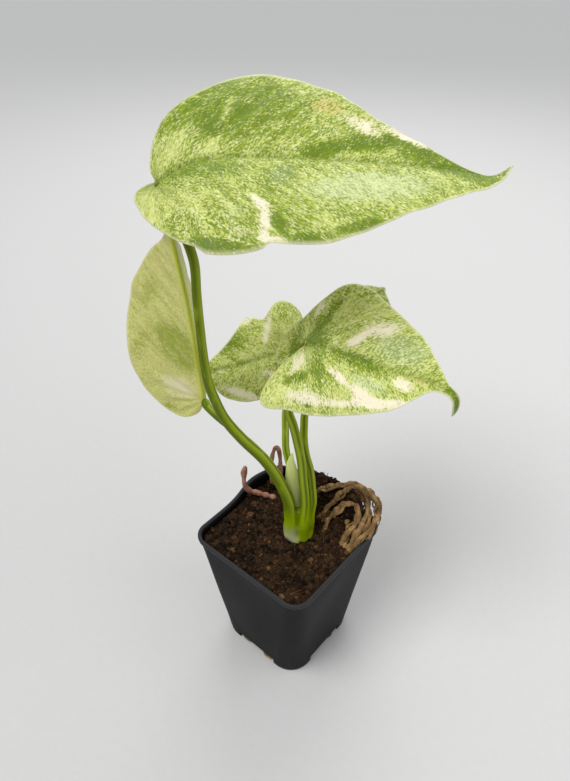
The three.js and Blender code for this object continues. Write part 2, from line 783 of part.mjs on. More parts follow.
function sheetNormals(points, faces) {
  const normals = points.map(() => new THREE.Vector3());
  for (const [a, b, c] of faces) {
    const first = points[b].clone().sub(points[a]);
    const second = points[c].clone().sub(points[a]);
    const normal = first.cross(second);
    [a, b, c].forEach((corner) => normals[corner].add(normal));
  }
  return normals.map((normal) => normal.normalize());
}

// A body over and under the sheet, both faces split alike, with the rib proud of the underside
function bladeSolid(shape, stalk) {
  const { points, faces, away, along } = bladeSheet(shape);
  const normals = sheetNormals(points, faces);
  const half = blade.thickness / 2;
  const upper = points.map((point, i) => point.clone().addScaledVector(normals[i], half));
  const lower = points.map((point, i) => {
    const onRib = away[i] === 0 ? 1 - along[i] / shape.length : 0;
    return point.clone().addScaledVector(normals[i], -half - blade.ribDepth * onRib);
  });
  const count = points.length;
  const body = [...faces, ...faces.map(([a, b, c]) => [a + count, c + count, b + count])];
  const edges = new Map();
  for (const [a, b, c] of faces) {
    [[a, b], [b, c], [c, a]].forEach(([from, to]) => edges.set(`${from},${to}`, [from, to]));
  }
  for (const [from, to] of edges.values()) {
    if (!edges.has(`${to},${from}`)) {
      body.push([to, from, from + count], [to, from + count, to + count]);
    }
  }
  return wholeBody(solidOf(closedBody([...upper, ...lower], body)).add(knuckleSolid(stalk)));
}

// Roots

function rootSolid(root, grown) {
  const section = (share) => {
    const radius = THREE.MathUtils.lerp(root.radius, root.tipRadius, share);
    return roundSection(radius + grown, rootSides);
  };
  return rod(curveThrough(root.route), rootStep, section, towards(root.facing));
}

function cornerRootSolid(grown) {
  const upward = new THREE.Vector3(0, 0, 1);
  const strands = cornerRoots.routes.map((route) => {
    const whole = curveThrough([rootKnot.at, ...route, rootKnot.at]);
    const section = () => roundSection(cornerRoots.radius + grown, rootSides);
    return rod(whole, rootStep, section, upward);
  });
  const knot = new THREE.SphereGeometry(rootKnot.radius + grown, 10, 8);
  knot.translate(...rootKnot.at);
  return joined([solidOf(knot), ...strands]);
}

// Assembly

const names = Object.keys(blades);
const grownStalks = Object.fromEntries(names.map((name) => [name, stalkSolid(stalks[name], clearance)]));
const grownStem = stemSolid(clearance);
const stemNode = stemSolid(0);

const plant = new THREE.Group();
plant.rotation.z = plantTurn;
plant.add(mesh('stem', geometryOf(stemNode), finishes.stem));

names.forEach((name, index) => {
  const earlier = names.slice(0, index).map((other) => grownStalks[other]);
  const stalk = cutBy(stalkSolid(stalks[name], 0), [grownStem, ...earlier]);
  plant.add(mesh(`stalk_${name}`, geometryOf(stalk), finishes.stalk));
  plant.add(mesh(`blade_${name}`, geometryOf(bladeSolid(blades[name], stalks[name])), finishes.blade));
});

plant.add(mesh('sheath', geometryOf(sheathSolid(Object.values(grownStalks))), finishes.sheath));
plant.add(mesh('roots_corner', geometryOf(cornerRootSolid(0)), finishes.tanRoot));
plant.add(mesh('root_climbing', geometryOf(rootSolid(climbingRoot, 0)), finishes.pinkRoot));
plant.add(mesh('root_arched', geometryOf(rootSolid(archedRoot, 0)), finishes.pinkRoot));

const buried = [
  grownStem,
  cornerRootSolid(clearance),
  rootSolid(climbingRoot, clearance),
  rootSolid(archedRoot, clearance),
].map((solid) => solidOf(geometryOf(solid).rotateZ(plantTurn)));

const model = new THREE.Group();
model.add(mesh('pot', geometryOf(potSolid()), finishes.pot));
model.add(mesh('soil', geometryOf(soilSolid(buried)), finishes.soil));
model.add(plant);

export default model;
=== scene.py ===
"""Potted green snow monstera: the looks of the plant, its roots, its peat and its nursery pot.

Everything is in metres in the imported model's frame. Shapes of the plant are given in millimetres in
the plant's own frame, whose X runs across the widest blade, and are turned and scaled when a mesh is made.
"""

import logging
import math
from dataclasses import dataclass, field
from enum import Enum

import bmesh
import bpy
import numpy as np
from mathutils import Matrix, Vector, noise


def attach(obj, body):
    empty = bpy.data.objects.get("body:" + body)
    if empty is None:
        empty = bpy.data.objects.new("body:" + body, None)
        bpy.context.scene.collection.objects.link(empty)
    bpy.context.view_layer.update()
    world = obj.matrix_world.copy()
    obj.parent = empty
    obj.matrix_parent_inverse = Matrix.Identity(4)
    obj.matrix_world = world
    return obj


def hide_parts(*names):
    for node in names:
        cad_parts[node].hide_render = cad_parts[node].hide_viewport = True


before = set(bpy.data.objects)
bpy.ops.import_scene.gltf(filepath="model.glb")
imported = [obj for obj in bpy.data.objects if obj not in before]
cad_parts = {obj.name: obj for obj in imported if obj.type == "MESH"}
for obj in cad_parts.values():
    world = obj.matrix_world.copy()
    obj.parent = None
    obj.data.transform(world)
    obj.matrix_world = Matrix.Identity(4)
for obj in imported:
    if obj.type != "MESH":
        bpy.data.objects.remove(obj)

log = logging.getLogger("snow_monstera")

MM = 0.001
PLANT_TURN = math.radians(40.3)

Table = tuple[tuple[float, float], ...]
Point = tuple[float, float, float]
Route = tuple[Point, ...]
Colour = tuple[float, float, float, float]
Faces = list[tuple[int, ...]]
Values = dict[str, np.ndarray]
Material = bpy.types.Material
Piece = bpy.types.Object
Node = bpy.types.Node
NodeTree = bpy.types.NodeTree
Socket = bpy.types.NodeSocket
Inputs = dict[str | int, object]
Span = tuple[float, float]

NUMBER = "NodeSocketFloat"
VECTOR = "NodeSocketVector"
ATTRIBUTE_KINDS = {1: ("FLOAT", "value"), 3: ("FLOAT_VECTOR", "vector"), 4: ("FLOAT_COLOR", "color")}


class Slot(Enum):
    """The record's material slots."""

    POT = "pot_plastic"
    PEAT = "peat"
    STEM = "stem_green"
    STALK = "stalk_green"
    SHEATH = "sheath_cream"
    BLADE = "blade_variegated"
    TAN_ROOT = "root_tan"
    PINK_ROOT = "root_pink"


class Side(Enum):
    """The two halves of a blade, as the sign of their distance from the rib."""

    LEFT = 1
    RIGHT = -1


def srgb(red: int, green: int, blue: int) -> Colour:
    """A colour as the shader wants it.

    Args:
        red: the red channel as a screen shows it, 0 to 255.
        green: the green channel.
        blue: the blue channel.

    Returns:
        Linear red, green and blue, and full alpha.
    """
    linear = [((c / 255 + 0.055) / 1.055) ** 2.4 if c > 10 else c / 255 / 12.92 for c in (red, green, blue)]
    return (*linear, 1.0)


# Numbers and curves


def table_at(table: Table, x: np.ndarray | float) -> np.ndarray:
    """Reads a table of (place, value) rows at places x, flat beyond its ends."""
    rows = np.array(table, float)
    return np.interp(x, rows[:, 0], rows[:, 1])


def smoothstep(x: np.ndarray | float, low: float, high: float) -> np.ndarray:
    """A soft step from 0 at low to 1 at high."""
    share = np.clip((x - low) / (high - low), 0, 1)
    return share * share * (3 - 2 * share)


def hump(distance: np.ndarray, reach: float) -> np.ndarray:
    """A soft rise to 1 where the distance is 0."""
    return np.exp(-((distance / reach) ** 2))


def round_angles(count: int) -> np.ndarray:
    """Evenly spaced angles round a circle."""
    return 2 * math.pi * np.arange(count) / count


def polar(along: np.ndarray, away: np.ndarray) -> tuple[np.ndarray, np.ndarray]:
    """How far places lie from a blade's attachment, and in which direction, from 0 straight ahead."""
    direction = np.arctan2(away, along)
    direction = np.where((direction < 0) & (along < 0), direction + 2 * math.pi, direction)
    return np.hypot(along, away), direction


def smooth_curve(route: Route | Table, closed_ends: bool = False) -> np.ndarray:
    """Many close points of a Catmull-Rom curve.

    Args:
        route: the points that the curve passes through.
        closed_ends: whether the end points stand in for the ones beyond them.

    Returns:
        Close points along the curve, one a row.
    """
    points = np.array(route, float)
    first = points[0] if closed_ends else 2 * points[0] - points[1]
    last = points[-1] if closed_ends else 2 * points[-1] - points[-2]
    run = np.vstack([first, points, last])
    t = np.linspace(0, 1, 24, endpoint=False)[:, None]
    pieces = []
    for i in range(len(points) - 1):
        p0, p1, p2, p3 = run[i : i + 4]
        v0, v1 = (p2 - p0) / 2, (p3 - p1) / 2
        cubic = (2 * p1 - 2 * p2 + v0 + v1) * t**3 + (-3 * p1 + 3 * p2 - 2 * v0 - v1) * t**2
        pieces.append(cubic + v0 * t + p1)
    pieces.append(points[-1:])
    return np.vstack(pieces)


def at_shares(run: np.ndarray, shares: np.ndarray) -> np.ndarray:
    """Points of a close run at shares of its length, one a row."""
    steps = np.linalg.norm(np.diff(run, axis=0), axis=1)
    lengths = np.concatenate([[0], np.cumsum(steps)])
    places = np.asarray(shares) * lengths[-1]
    return np.stack([np.interp(places, lengths, run[:, k]) for k in range(run.shape[1])], axis=-1)


def run_length(run: np.ndarray) -> float:
    """The length of a close run of points."""
    return float(np.linalg.norm(np.diff(run, axis=0), axis=1).sum())


def turned(points: np.ndarray) -> np.ndarray:
    """Points of the plant's frame in the pot's frame, both in millimetres."""
    cos, sin = math.cos(PLANT_TURN), math.sin(PLANT_TURN)
    x, y = points[..., 0], points[..., 1]
    return np.stack([x * cos - y * sin, x * sin + y * cos, points[..., 2]], axis=-1)


def unit(vectors: np.ndarray) -> np.ndarray:
    """Vectors at length 1, one a row."""
    return vectors / np.maximum(np.linalg.norm(vectors, axis=-1, keepdims=True), 1e-9)


# Meshes


@dataclass
class MeshDraft:
    """A mesh being gathered: points in millimetres in the pot's frame, faces, and values for each point."""

    points: np.ndarray
    faces: Faces
    values: Values = field(default_factory=dict)
    finish: list[int] | None = None

    def joined(self, other: "MeshDraft") -> "MeshDraft":
        """This draft and another as one.

        Args:
            other: the draft to add, with the same values.

        Returns:
            A new draft with both.
        """
        count = len(self.points)
        faces = self.faces + [tuple(i + count for i in face) for face in other.faces]
        values = {key: np.concatenate([self.values[key], other.values[key]]) for key in self.values}
        finish = (self.finish or [0] * len(self.faces)) + (other.finish or [0] * len(other.faces))
        return MeshDraft(np.vstack([self.points, other.points]), faces, values, finish)

    def facing_out(self) -> "MeshDraft":
        """The same draft with its faces turned outwards, by the sign of its volume."""
        volume = 0.0
        for face in self.faces:
            a = self.points[face[0]]
            for b, c in zip(face[1:-1], face[2:]):
                volume += float(np.dot(a, np.cross(self.points[b], self.points[c])))
        if volume < 0:
            self.faces = [tuple(reversed(face)) for face in self.faces]
        return self


def linked(name: str, data: bpy.types.ID) -> Piece:
    """A new object of this data, in the scene."""
    piece = bpy.data.objects.new(name, data)
    bpy.context.scene.collection.objects.link(piece)
    return piece


def make_object(name: str, draft: MeshDraft, *materials: Material) -> Piece:
    """A smooth-shaded object from a draft.

    Args:
        name: the piece's name.
        draft: its mesh, in millimetres in the pot's frame.
        *materials: its materials, in the order that the draft's faces name them.

    Returns:
        The object, at the origin.
    """
    mesh = bpy.data.meshes.new(name)
    mesh.from_pydata((draft.points * MM).tolist(), [], draft.faces)
    for key, value in draft.values.items():
        kind, part = ATTRIBUTE_KINDS[value[0].size]
        attribute = mesh.attributes.new(key, kind, "POINT")
        attribute.data.foreach_set(part, value.astype(np.float32).ravel())
    for material in materials:
        mesh.materials.append(material)
    if draft.finish is not None:
        mesh.polygons.foreach_set("material_index", draft.finish)
    mesh.shade_smooth()
    mesh.validate()
    mesh.update()
    return linked(name, mesh)


def ring_faces(rings: int, count: int) -> Faces:
    """Faces through rings of equal count, laid one after another and closed by one face at each end.

    Args:
        rings: how many rings there are.
        count: how many points each ring has.

    Returns:
        The faces, as point numbers.
    """
    faces: Faces = []
    for ring in range(rings - 1):
        for i in range(count):
            a, b = ring * count + i, ring * count + (i + 1) % count
            faces.append((a, b, b + count, a + count))
    faces.append(tuple(reversed(range(count))))
    faces.append(tuple(range((rings - 1) * count, rings * count)))
    return faces


def frames_along(run: np.ndarray, shares: np.ndarray, facing: float) -> tuple[np.ndarray, ...]:
    """Places along a run, with the two directions across it, carried along without twist.

    Args:
        run: close points of the run.
        shares: where along it, as shares of its length.
        facing: the level heading of the way that the first section faces, in degrees.

    Returns:
        Places, forward directions and sideways directions, one a row.
    """
    places = at_shares(run, shares)
    ahead = at_shares(run, np.clip(shares + 0.002, 0, 1))
    behind = at_shares(run, np.clip(shares - 0.002, 0, 1))
    tangents = unit(ahead - behind)
    heading = math.radians(facing)
    forward = np.array([math.cos(heading), math.sin(heading), 0.0])
    ups = []
    for tangent in tangents:
        forward = forward - tangent * np.dot(forward, tangent)
        forward = forward / np.linalg.norm(forward)
        ups.append(forward)
    return places, np.array(ups), np.cross(tangents, np.array(ups))


# Node trees


class Tree:
    """Short calls that add and join the nodes of one tree."""

    def __init__(self, tree: NodeTree) -> None:
        """Keeps the tree that it writes to."""
        self.tree = tree

    def put(self, socket: Socket, value: object) -> None:
        """Joins a socket to another, or sets its value."""
        if isinstance(value, bpy.types.NodeSocket):
            self.tree.links.new(value, socket)
        else:
            socket.default_value = value

    def add(self, kind: str, inputs: Inputs | None = None, **settings: object) -> Node:
        """Adds a node.

        Args:
            kind: the node's type.
            inputs: values or sockets by input name or number.
            **settings: the node's own settings.

        Returns:
            The new node.
        """
        node = self.tree.nodes.new(kind)
        for key, value in settings.items():
            setattr(node, key, value)
        for key, value in (inputs or {}).items():
            self.put(node.inputs[key], value)
        return node

    def get(self, kind: str, inputs: Inputs | None = None, output: str | int = 0, **settings: str) -> Socket:
        """One output of a new node, which add makes from the same values."""
        return self.add(kind, inputs, **settings).outputs[output]

    def math(self, operation: str, a: object, b: object = 0.0) -> Socket:
        """The result of one sum on two numbers."""
        return self.get("ShaderNodeMath", {0: a, 1: b}, operation=operation)

    def times(self, a: object, b: object) -> Socket:
        """The product of two numbers."""
        return self.math("MULTIPLY", a, b)

    def plus(self, a: object, b: object) -> Socket:
        """The sum of two numbers."""
        return self.math("ADD", a, b)

    def minus(self, a: object, b: object) -> Socket:
        """What is left of one number without another."""
        return self.math("SUBTRACT", a, b)

    def mix(self, share: object, a: object, b: object) -> Socket:
        """Colour a turned into colour b by a share."""
        return self.get("ShaderNodeMix", {"Factor": share, 6: a, 7: b}, 2, data_type="RGBA")

    def step(self, value: object, low: object, high: object) -> Socket:
        """A soft step from 0 at low to 1 at high."""
        inputs = {"Value": value, "From Min": low, "From Max": high}
        return self.get("ShaderNodeMapRange", inputs, "Result", interpolation_type="SMOOTHSTEP")

    def noise(self, vector: object, scale: float, detail: float = 2.0, rough: float = 0.5) -> Socket:
        """Soft noise with values about 0.5."""
        inputs = {"Vector": vector, "Scale": scale, "Detail": detail, "Roughness": rough}
        return self.get("ShaderNodeTexNoise", inputs, "Fac")

    def swing(self, value: Socket, amount: float) -> Socket:
        """A value about 0.5 turned into one about 0 of this size."""
        return self.times(self.minus(value, 0.5), amount)

    def stretch(self, vector: object, factors: object) -> Socket:
        """A vector with each part multiplied by its own factor."""
        return self.get("ShaderNodeVectorMath", {0: vector, 1: factors}, operation="MULTIPLY")

    def wander(self, place: Socket, scale: float, seed: object, amount: object) -> Socket:
        """An offset that wanders with place.

        Args:
            place: where it is read.
            scale: how fast it changes, per metre or per unit.
            seed: a number that sets it apart from others.
            amount: its size.

        Returns:
            The offset.
        """
        inputs = {"Vector": place, "Scale": scale, "W": seed}
        cloud = self.get("ShaderNodeTexNoise", inputs, "Color", noise_dimensions="4D")
        centred = self.get("ShaderNodeVectorMath", {0: cloud, 1: (0.5, 0.5, 0.5)}, operation="SUBTRACT")
        return self.get("ShaderNodeVectorMath", {0: centred, "Scale": amount}, operation="SCALE")

    def attribute(self, name: str, output: str = "Fac") -> Socket:
        """A value that the mesh carries for each point."""
        return self.get("ShaderNodeAttribute", None, output, attribute_name=name)

    def place(self) -> Socket:
        """The place of each point in its piece, in metres."""
        return self.get("ShaderNodeTexCoord", None, "Object")

    def parts(self, vector: object) -> list[Socket]:
        """The three parts of a vector."""
        return list(self.add("ShaderNodeSeparateXYZ", {0: vector}).outputs)

    def use(self, group: NodeTree, **inputs: object) -> Socket:
        """The output of a shared group placed in this tree, with its inputs by name."""
        return self.get("ShaderNodeGroup", inputs, node_tree=group)

    def joined(self, shapes: list[Socket]) -> Socket:
        """Several geometries as one."""
        node = self.add("GeometryNodeJoinGeometry")
        for shape in shapes:
            self.put(node.inputs["Geometry"], shape)
        return node.outputs[0]

    def dressed(self, shape: Socket, material: Socket) -> Socket:
        """A geometry made real, in this material."""
        real = self.get("GeometryNodeRealizeInstances", {"Geometry": shape})
        return self.get("GeometryNodeSetMaterial", {"Geometry": real, "Material": material})


NewTree = tuple[Tree, dict[str, Socket], Socket]


def new_group(name: str, inputs: dict[str, str], output: str) -> NewTree:
    """A new shader group with one number out.

    Args:
        name: the group's name.
        inputs: socket kinds by input name.
        output: the output's name.

    Returns:
        The tree, its input sockets by name and its output socket.
    """
    group = bpy.data.node_groups.new(name, "ShaderNodeTree")
    for key, kind in inputs.items():
        group.interface.new_socket(key, in_out="INPUT", socket_type=kind)
    group.interface.new_socket(output, in_out="OUTPUT", socket_type=NUMBER)
    tree = Tree(group)
    start = tree.add("NodeGroupInput")
    end = tree.add("NodeGroupOutput")
    return tree, {key: start.outputs[key] for key in inputs}, end.inputs[output]


def speckle_group() -> NodeTree:
    """Fine speckles, drawn out along the veins, that cover the share of the surface that Density gives."""
    inputs = {"Place": VECTOR, "Density": NUMBER, "Softness": NUMBER}
    tree, given, mask = new_group("speckles_along_veins", inputs, "Mask")
    fine = tree.noise(tree.stretch(given["Place"], (1.0, 0.36, 1.0)), 1.7, 3.0, 0.6)
    broad = tree.noise(tree.stretch(given["Place"], (1.0, 0.35, 1.0)), 0.28, 3.0, 0.6)
    both = tree.plus(tree.times(fine, 0.7), tree.times(broad, 0.3))
    edge = tree.minus(0.68, tree.times(given["Density"], 0.36))
    softness = given["Softness"]
    tree.put(mask, tree.step(both, tree.minus(edge, softness), tree.plus(edge, softness)))
    return tree.tree


def fibre_group() -> NodeTree:
    """Fine lines that run the way a stalk, a vein or a root grows, as a value about 0.5."""
    inputs = {"Place": VECTOR, "Along": NUMBER, "Across": NUMBER}
    tree, given, value = new_group("fibres_along_growth", inputs, "Value")
    across = given["Across"]
    factors = tree.get("ShaderNodeCombineXYZ", {0: across, 1: given["Along"], 2: across})
    tree.put(value, tree.noise(tree.stretch(given["Place"], factors), 1.0, 3.0, 0.6))
    return tree.tree


def dust_group() -> NodeTree:
    """Grains of dry peat that cling to a surface, thicker where Amount is more."""
    tree, given, mask = new_group("clinging_peat", {"Place": VECTOR, "Amount": NUMBER}, "Mask")
    cloud = tree.noise(given["Place"], 60.0, 3.0, 0.6)
    grain = tree.noise(given["Place"], 900.0, 2.0, 0.6)
    both = tree.plus(tree.times(cloud, 0.5), tree.times(grain, 0.5))
    edge = tree.minus(0.72, tree.times(given["Amount"], 0.3))
    tree.put(mask, tree.step(both, edge, tree.plus(edge, 0.08)))
    return tree.tree


class Groups:
    """The shader groups that several materials share, each made once."""

    speckle: NodeTree
    fibre: NodeTree
    dust: NodeTree

    @classmethod
    def make(cls) -> None:
        """Makes the groups."""
        cls.speckle = speckle_group()
        cls.fibre = fibre_group()
        cls.dust = dust_group()


# Finishes


def new_material(name: str) -> tuple[Material, Tree, Node]:
    """A new node material.

    Args:
        name: the material's name.

    Returns:
        The material, its tree and its Principled node.
    """
    material = bpy.data.materials.new(name)
    material.use_nodes = True
    return material, Tree(material.node_tree), material.node_tree.nodes["Principled BSDF"]


@dataclass(frozen=True)
class Surface:
    """What a finish gives its shader: colour, roughness, gloss, and a relief of a depth in metres."""

    colour: Socket
    rough: Socket
    specular: float
    height: Socket
    depth: float

    def join(self, tree: Tree, shader: Node) -> None:
        """Joins all of it to the shader.

        Args:
            tree: the material's tree.
            shader: its Principled node.
        """
        tree.put(shader.inputs["Base Color"], self.colour)
        tree.put(shader.inputs["Roughness"], self.rough)
        shader.inputs["Specular IOR Level"].default_value = self.specular
        relief = {"Height": self.height, "Strength": 1.0, "Distance": self.depth}
        tree.put(shader.inputs["Normal"], tree.get("ShaderNodeBump", relief, "Normal"))


@dataclass(frozen=True)
class BladeFinish:
    """The variegated leaf: pale ground, green speckles, cream splashes and a grey-green tint, partly a bloom
    and partly a painted reflection beside the top blade's rib.
    """

    pale: Colour = srgb(226, 228, 164)
    lime: Colour = srgb(190, 200, 96)
    cream: Colour = srgb(238, 228, 200)
    green: Colour = srgb(122, 144, 8)
    deep: Colour = srgb(82, 110, 0)
    mint: Colour = srgb(204, 214, 162)
    tan: Colour = srgb(212, 192, 118)
    margin: Colour = srgb(230, 226, 182)
    under_pale: Colour = srgb(224, 220, 140)
    under_green: Colour = srgb(134, 152, 0)
    under_rib: Colour = srgb(200, 208, 62)
    roughness: float = 0.44
    specular: float = 0.12
    vein_depth: float = 0.00012

    def material(self) -> Material:
        """The material. It reads what each blade's points carry.

        Returns:
            The new material.
        """
        material, tree, shader = new_material("variegated_blade")
        place = tree.attribute("place", "Vector")
        density, cream, mint = tree.parts(tree.attribute("paint", "Color"))
        tan = tree.attribute("paint", "Alpha")
        rib, margin, under = tree.parts(tree.attribute("edges", "Vector"))
        fibres = tree.use(Groups.fibre, Place=place, Along=0.12, Across=1.6)
        broad = tree.use(Groups.fibre, Place=place, Along=0.1, Across=0.35)
        sway = tree.plus(tree.swing(broad, 1.2), tree.swing(fibres, 0.9))
        second = tree.noise(tree.stretch(place, (1.0, 0.45, 1.0)), 0.8, 4.0, 0.7)

        splash = tree.step(tree.plus(cream, sway), 0.15, 1.1)
        # The mint paint: a grey-green bloom, and on the top blade a painted reflection beside the rib.
        bloom_and_reflection = tree.step(tree.plus(mint, sway), 0.25, 0.9)
        golden = tree.step(tree.plus(tan, sway), 0.3, 0.9)
        cover = tree.math("MAXIMUM", 0.3, tree.math("MINIMUM", density, 0.76))
        cleared = tree.plus(tree.times(splash, 0.6), tree.times(golden, 0.2))
        thin = tree.times(cover, tree.minus(1.0, cleared))
        speckle = tree.use(Groups.speckle, Place=place, Density=thin, Softness=0.07)

        ground = tree.mix(tree.step(second, 0.35, 0.7), self.lime, self.pale)
        ground = tree.mix(tree.times(bloom_and_reflection, 0.7), ground, self.mint)
        ground = tree.mix(tree.times(golden, 0.85), ground, self.tan)
        ground = tree.mix(tree.times(splash, tree.step(second, 0.1, 0.45)), ground, self.cream)
        lively = tree.plus(second, tree.swing(density, 0.35))
        green = tree.mix(tree.step(lively, 0.42, 0.66), self.green, self.deep)
        green = tree.mix(tree.times(bloom_and_reflection, 0.22), green, self.mint)
        top = tree.mix(tree.times(speckle, 0.92), ground, green)
        top = tree.mix(tree.times(tree.step(fibres, 0.6, 0.8), 0.12), top, self.pale)
        top = tree.mix(tree.times(rib, 0.4), top, self.deep)

        soft = tree.use(Groups.speckle, Place=place, Density=thin, Softness=0.2)
        below = tree.mix(tree.times(soft, 0.85), self.under_pale, self.under_green)
        below = tree.mix(tree.times(splash, 0.6), below, self.cream)
        below = tree.mix(tree.times(golden, 0.4), below, self.tan)
        below = tree.mix(tree.times(rib, 0.9), below, self.under_rib)

        colour = tree.mix(tree.times(margin, 0.65), tree.mix(under, top, below), self.margin)
        rough = tree.plus(self.roughness, tree.times(speckle, -0.06))
        height = tree.plus(fibres, tree.times(speckle, -0.35))
        Surface(colour, rough, self.specular, height, self.vein_depth).join(tree, shader)
        return material


@dataclass(frozen=True)
class StalkFinish:
    """A green stalk, lighter at its foot, and lighter along the edges of its channel, partly their paler
    skin and partly painted highlight.
    """

    name: str
    body: Colour
    light: Colour
    foot: Colour
    roughness: float = 0.38
    specular: float = 0.16
    line_depth: float = 0.00008

    def material(self) -> Material:
        """The material. It reads the stalk's own directions and light edges.

        Returns:
            The new material.
        """
        material, tree, shader = new_material(self.name)
        place = tree.attribute("place", "Vector")
        foot, light, _ = tree.parts(tree.attribute("tones", "Vector"))
        lines = tree.use(Groups.fibre, Place=place, Along=0.1, Across=1.5)
        blotch = tree.noise(tree.stretch(place, (1.0, 0.4, 1.0)), 0.25, 2.0)
        colour = tree.mix(tree.times(tree.step(blotch, 0.5, 0.8), 0.5), self.body, self.light)
        colour = tree.mix(tree.times(tree.step(lines, 0.5, 0.8), 0.35), colour, self.light)
        # The second tone: on a stalk, the light band along the channel's edges, partly their paler skin and
        # partly painted highlight; on the sheath, its open edges.
        colour = tree.mix(foot, tree.mix(light, colour, self.light), self.foot)
        rough = tree.plus(self.roughness, tree.times(lines, 0.12))
        Surface(colour, rough, self.specular, lines, self.line_depth).join(tree, shader)
        return material


@dataclass(frozen=True)
class PotFinish:
    """Moulded black plastic, scuffed and dusted with peat, a little greyer where it is rubbed, and grey
    along its rolled lip as a painted highlight.
    """

    body: Colour = srgb(5, 5, 6)
    worn_and_lip_highlight: Colour = srgb(62, 63, 63)
    dust: Colour = srgb(80, 62, 42)
    roughness: float = 0.5
    specular: float = 0.14
    grain_depth: float = 0.00004

    def material(self) -> Material:
        """The material, in the pot's own place.

        Returns:
            The new material.
        """
        material, tree, shader = new_material("black_pot_plastic")
        place = tree.place()
        cloud = tree.noise(place, 28.0, 3.0, 0.6)
        scuff = tree.noise(tree.stretch(place, (1.0, 1.0, 0.06)), 420.0, 3.0, 0.65)
        wear = tree.times(tree.step(scuff, 0.52, 0.8), tree.step(cloud, 0.35, 0.75))
        # Grey on the rubbed spots and, along the rolled lip, a painted highlight in the same grey.
        grey = tree.math("MAXIMUM", tree.times(tree.attribute("lip"), 0.55), tree.times(wear, 0.4))
        low = tree.minus(1.0, tree.step(tree.parts(place)[2], 0.0, 0.02))
        dusty = tree.use(Groups.dust, Place=place, Amount=tree.plus(0.12, tree.times(low, 0.35)))
        colour = tree.mix(tree.times(dusty, 0.6), tree.mix(grey, self.body, self.worn_and_lip_highlight), self.dust)
        rough = tree.plus(tree.plus(self.roughness, tree.times(cloud, 0.12)), tree.times(dusty, 0.3))
        grain = tree.plus(tree.noise(place, 2600.0, 2.0), dusty)
        Surface(colour, rough, self.specular, grain, self.grain_depth).join(tree, shader)
        return material


@dataclass(frozen=True)
class PeatFinish:
    """Moist brown peat: hollows darkened as painted shade, brown crumbs and a few tan fibres."""

    dark: Colour = srgb(15, 9, 4)
    brown: Colour = srgb(58, 40, 24)
    tan: Colour = srgb(112, 82, 50)
    roughness: float = 0.93
    specular: float = 0.1
    grain_depth: float = 0.0003

    def material(self) -> Material:
        """The material. Crumbs carry a tone each, and the bed a tone by its height, darker in its hollows as
        painted shade.

        Returns:
            The new material.
        """
        material, tree, shader = new_material("brown_peat")
        place = tree.place()
        grain = tree.noise(place, 900.0, 4.0, 0.7)
        patch = tree.noise(place, 90.0, 2.0, 0.5)
        shade = tree.plus(tree.plus(tree.attribute("tone"), tree.swing(grain, 0.9)), tree.swing(patch, 0.7))
        colour = tree.mix(tree.step(shade, 0.05, 0.75), self.dark, self.brown)
        colour = tree.mix(tree.step(shade, 0.85, 1.15), colour, self.tan)
        rough = tree.minus(self.roughness, tree.times(grain, 0.1))
        Surface(colour, rough, self.specular, grain, self.grain_depth).join(tree, shader)
        return material


@dataclass(frozen=True)
class RootFinish:
    """A bare root: fine rings and lines, with paler high places as painted highlight, and peat in its folds.
    """

    name: str
    body: Colour
    pale: Colour
    dark: Colour
    roughness: float = 0.7
    specular: float = 0.35
    relief: float = 0.0002

    def material(self) -> Material:
        """The material, in the root's own place.

        Returns:
            The new material.
        """
        material, tree, shader = new_material(self.name)
        place = tree.place()
        blotch = tree.noise(place, 180.0, 3.0, 0.6)
        grain = tree.noise(place, 1500.0, 3.0, 0.65)
        dusty = tree.use(Groups.dust, Place=place, Amount=0.62)
        # Paler where the blotches raise the surface: painted highlight.
        colour = tree.mix(tree.step(blotch, 0.4, 0.68), self.body, self.pale)
        colour = tree.mix(tree.times(dusty, 0.8), colour, self.dark)
        colour = tree.mix(tree.times(tree.step(grain, 0.55, 0.75), 0.35), colour, self.dark)
        rough = tree.plus(self.roughness, tree.times(grain, 0.2))
        Surface(colour, rough, self.specular, tree.plus(grain, blotch), self.relief).join(tree, shader)
        return material


@dataclass(frozen=True)
class FloorFinish:
    """A plain pale studio floor."""

    body: Colour = srgb(198, 197, 195)
    dim_share: float = 0.94
    roughness: float = 0.8

    def material(self) -> Material:
        """The material, with a breath of grain so that it isn't one flat colour.

        Returns:
            The new material.
        """
        material, tree, shader = new_material("pale_floor")
        dim = (*(self.dim_share * channel for channel in self.body[:3]), 1.0)
        grain = tree.noise(tree.place(), 220.0, 3.0, 0.6)
        tree.put(shader.inputs["Base Color"], tree.mix(grain, self.body, dim))
        shader.inputs["Roughness"].default_value = self.roughness
        return material


# Blades


@dataclass(frozen=True)
class Patch:
    """A soft spot of paint on a blade, at a distance along the rib and a signed distance away from it."""

    channel: int
    along: float
    away: float
    long: float
    wide: float
    turn: float = 0.0
    strength: float = 1.0


GREEN, CREAM, MINT, TAN = range(4)


@dataclass(frozen=True)
class Half:
    """One half of a blade.

    The profile gives the angle above the blade's plane against the distance from the rib, and the fold
    scales it along the rib. The outline is along the rib and away from it. Behind the lobe's first
    direction the blade wraps round its attachment as a cone that droops.
    """

    profile: Table
    fold: Table
    outline: Table
    lobe_from: float = 90.0
    lobe_droop: float = 0.0


@dataclass(frozen=True)
class Rib:
    """The place and directions of a blade's rib at many distances."""

    distances: np.ndarray
    at: np.ndarray
    forward: np.ndarray
    sideways: np.ndarray
    upward: np.ndarray

    def read(self, key: str, distance: np.ndarray) -> np.ndarray:
        """One of the arrays at these distances along the rib, one a row."""
        values = getattr(self, key)
        return np.stack([np.interp(distance, self.distances, values[:, k]) for k in range(3)], axis=-1)


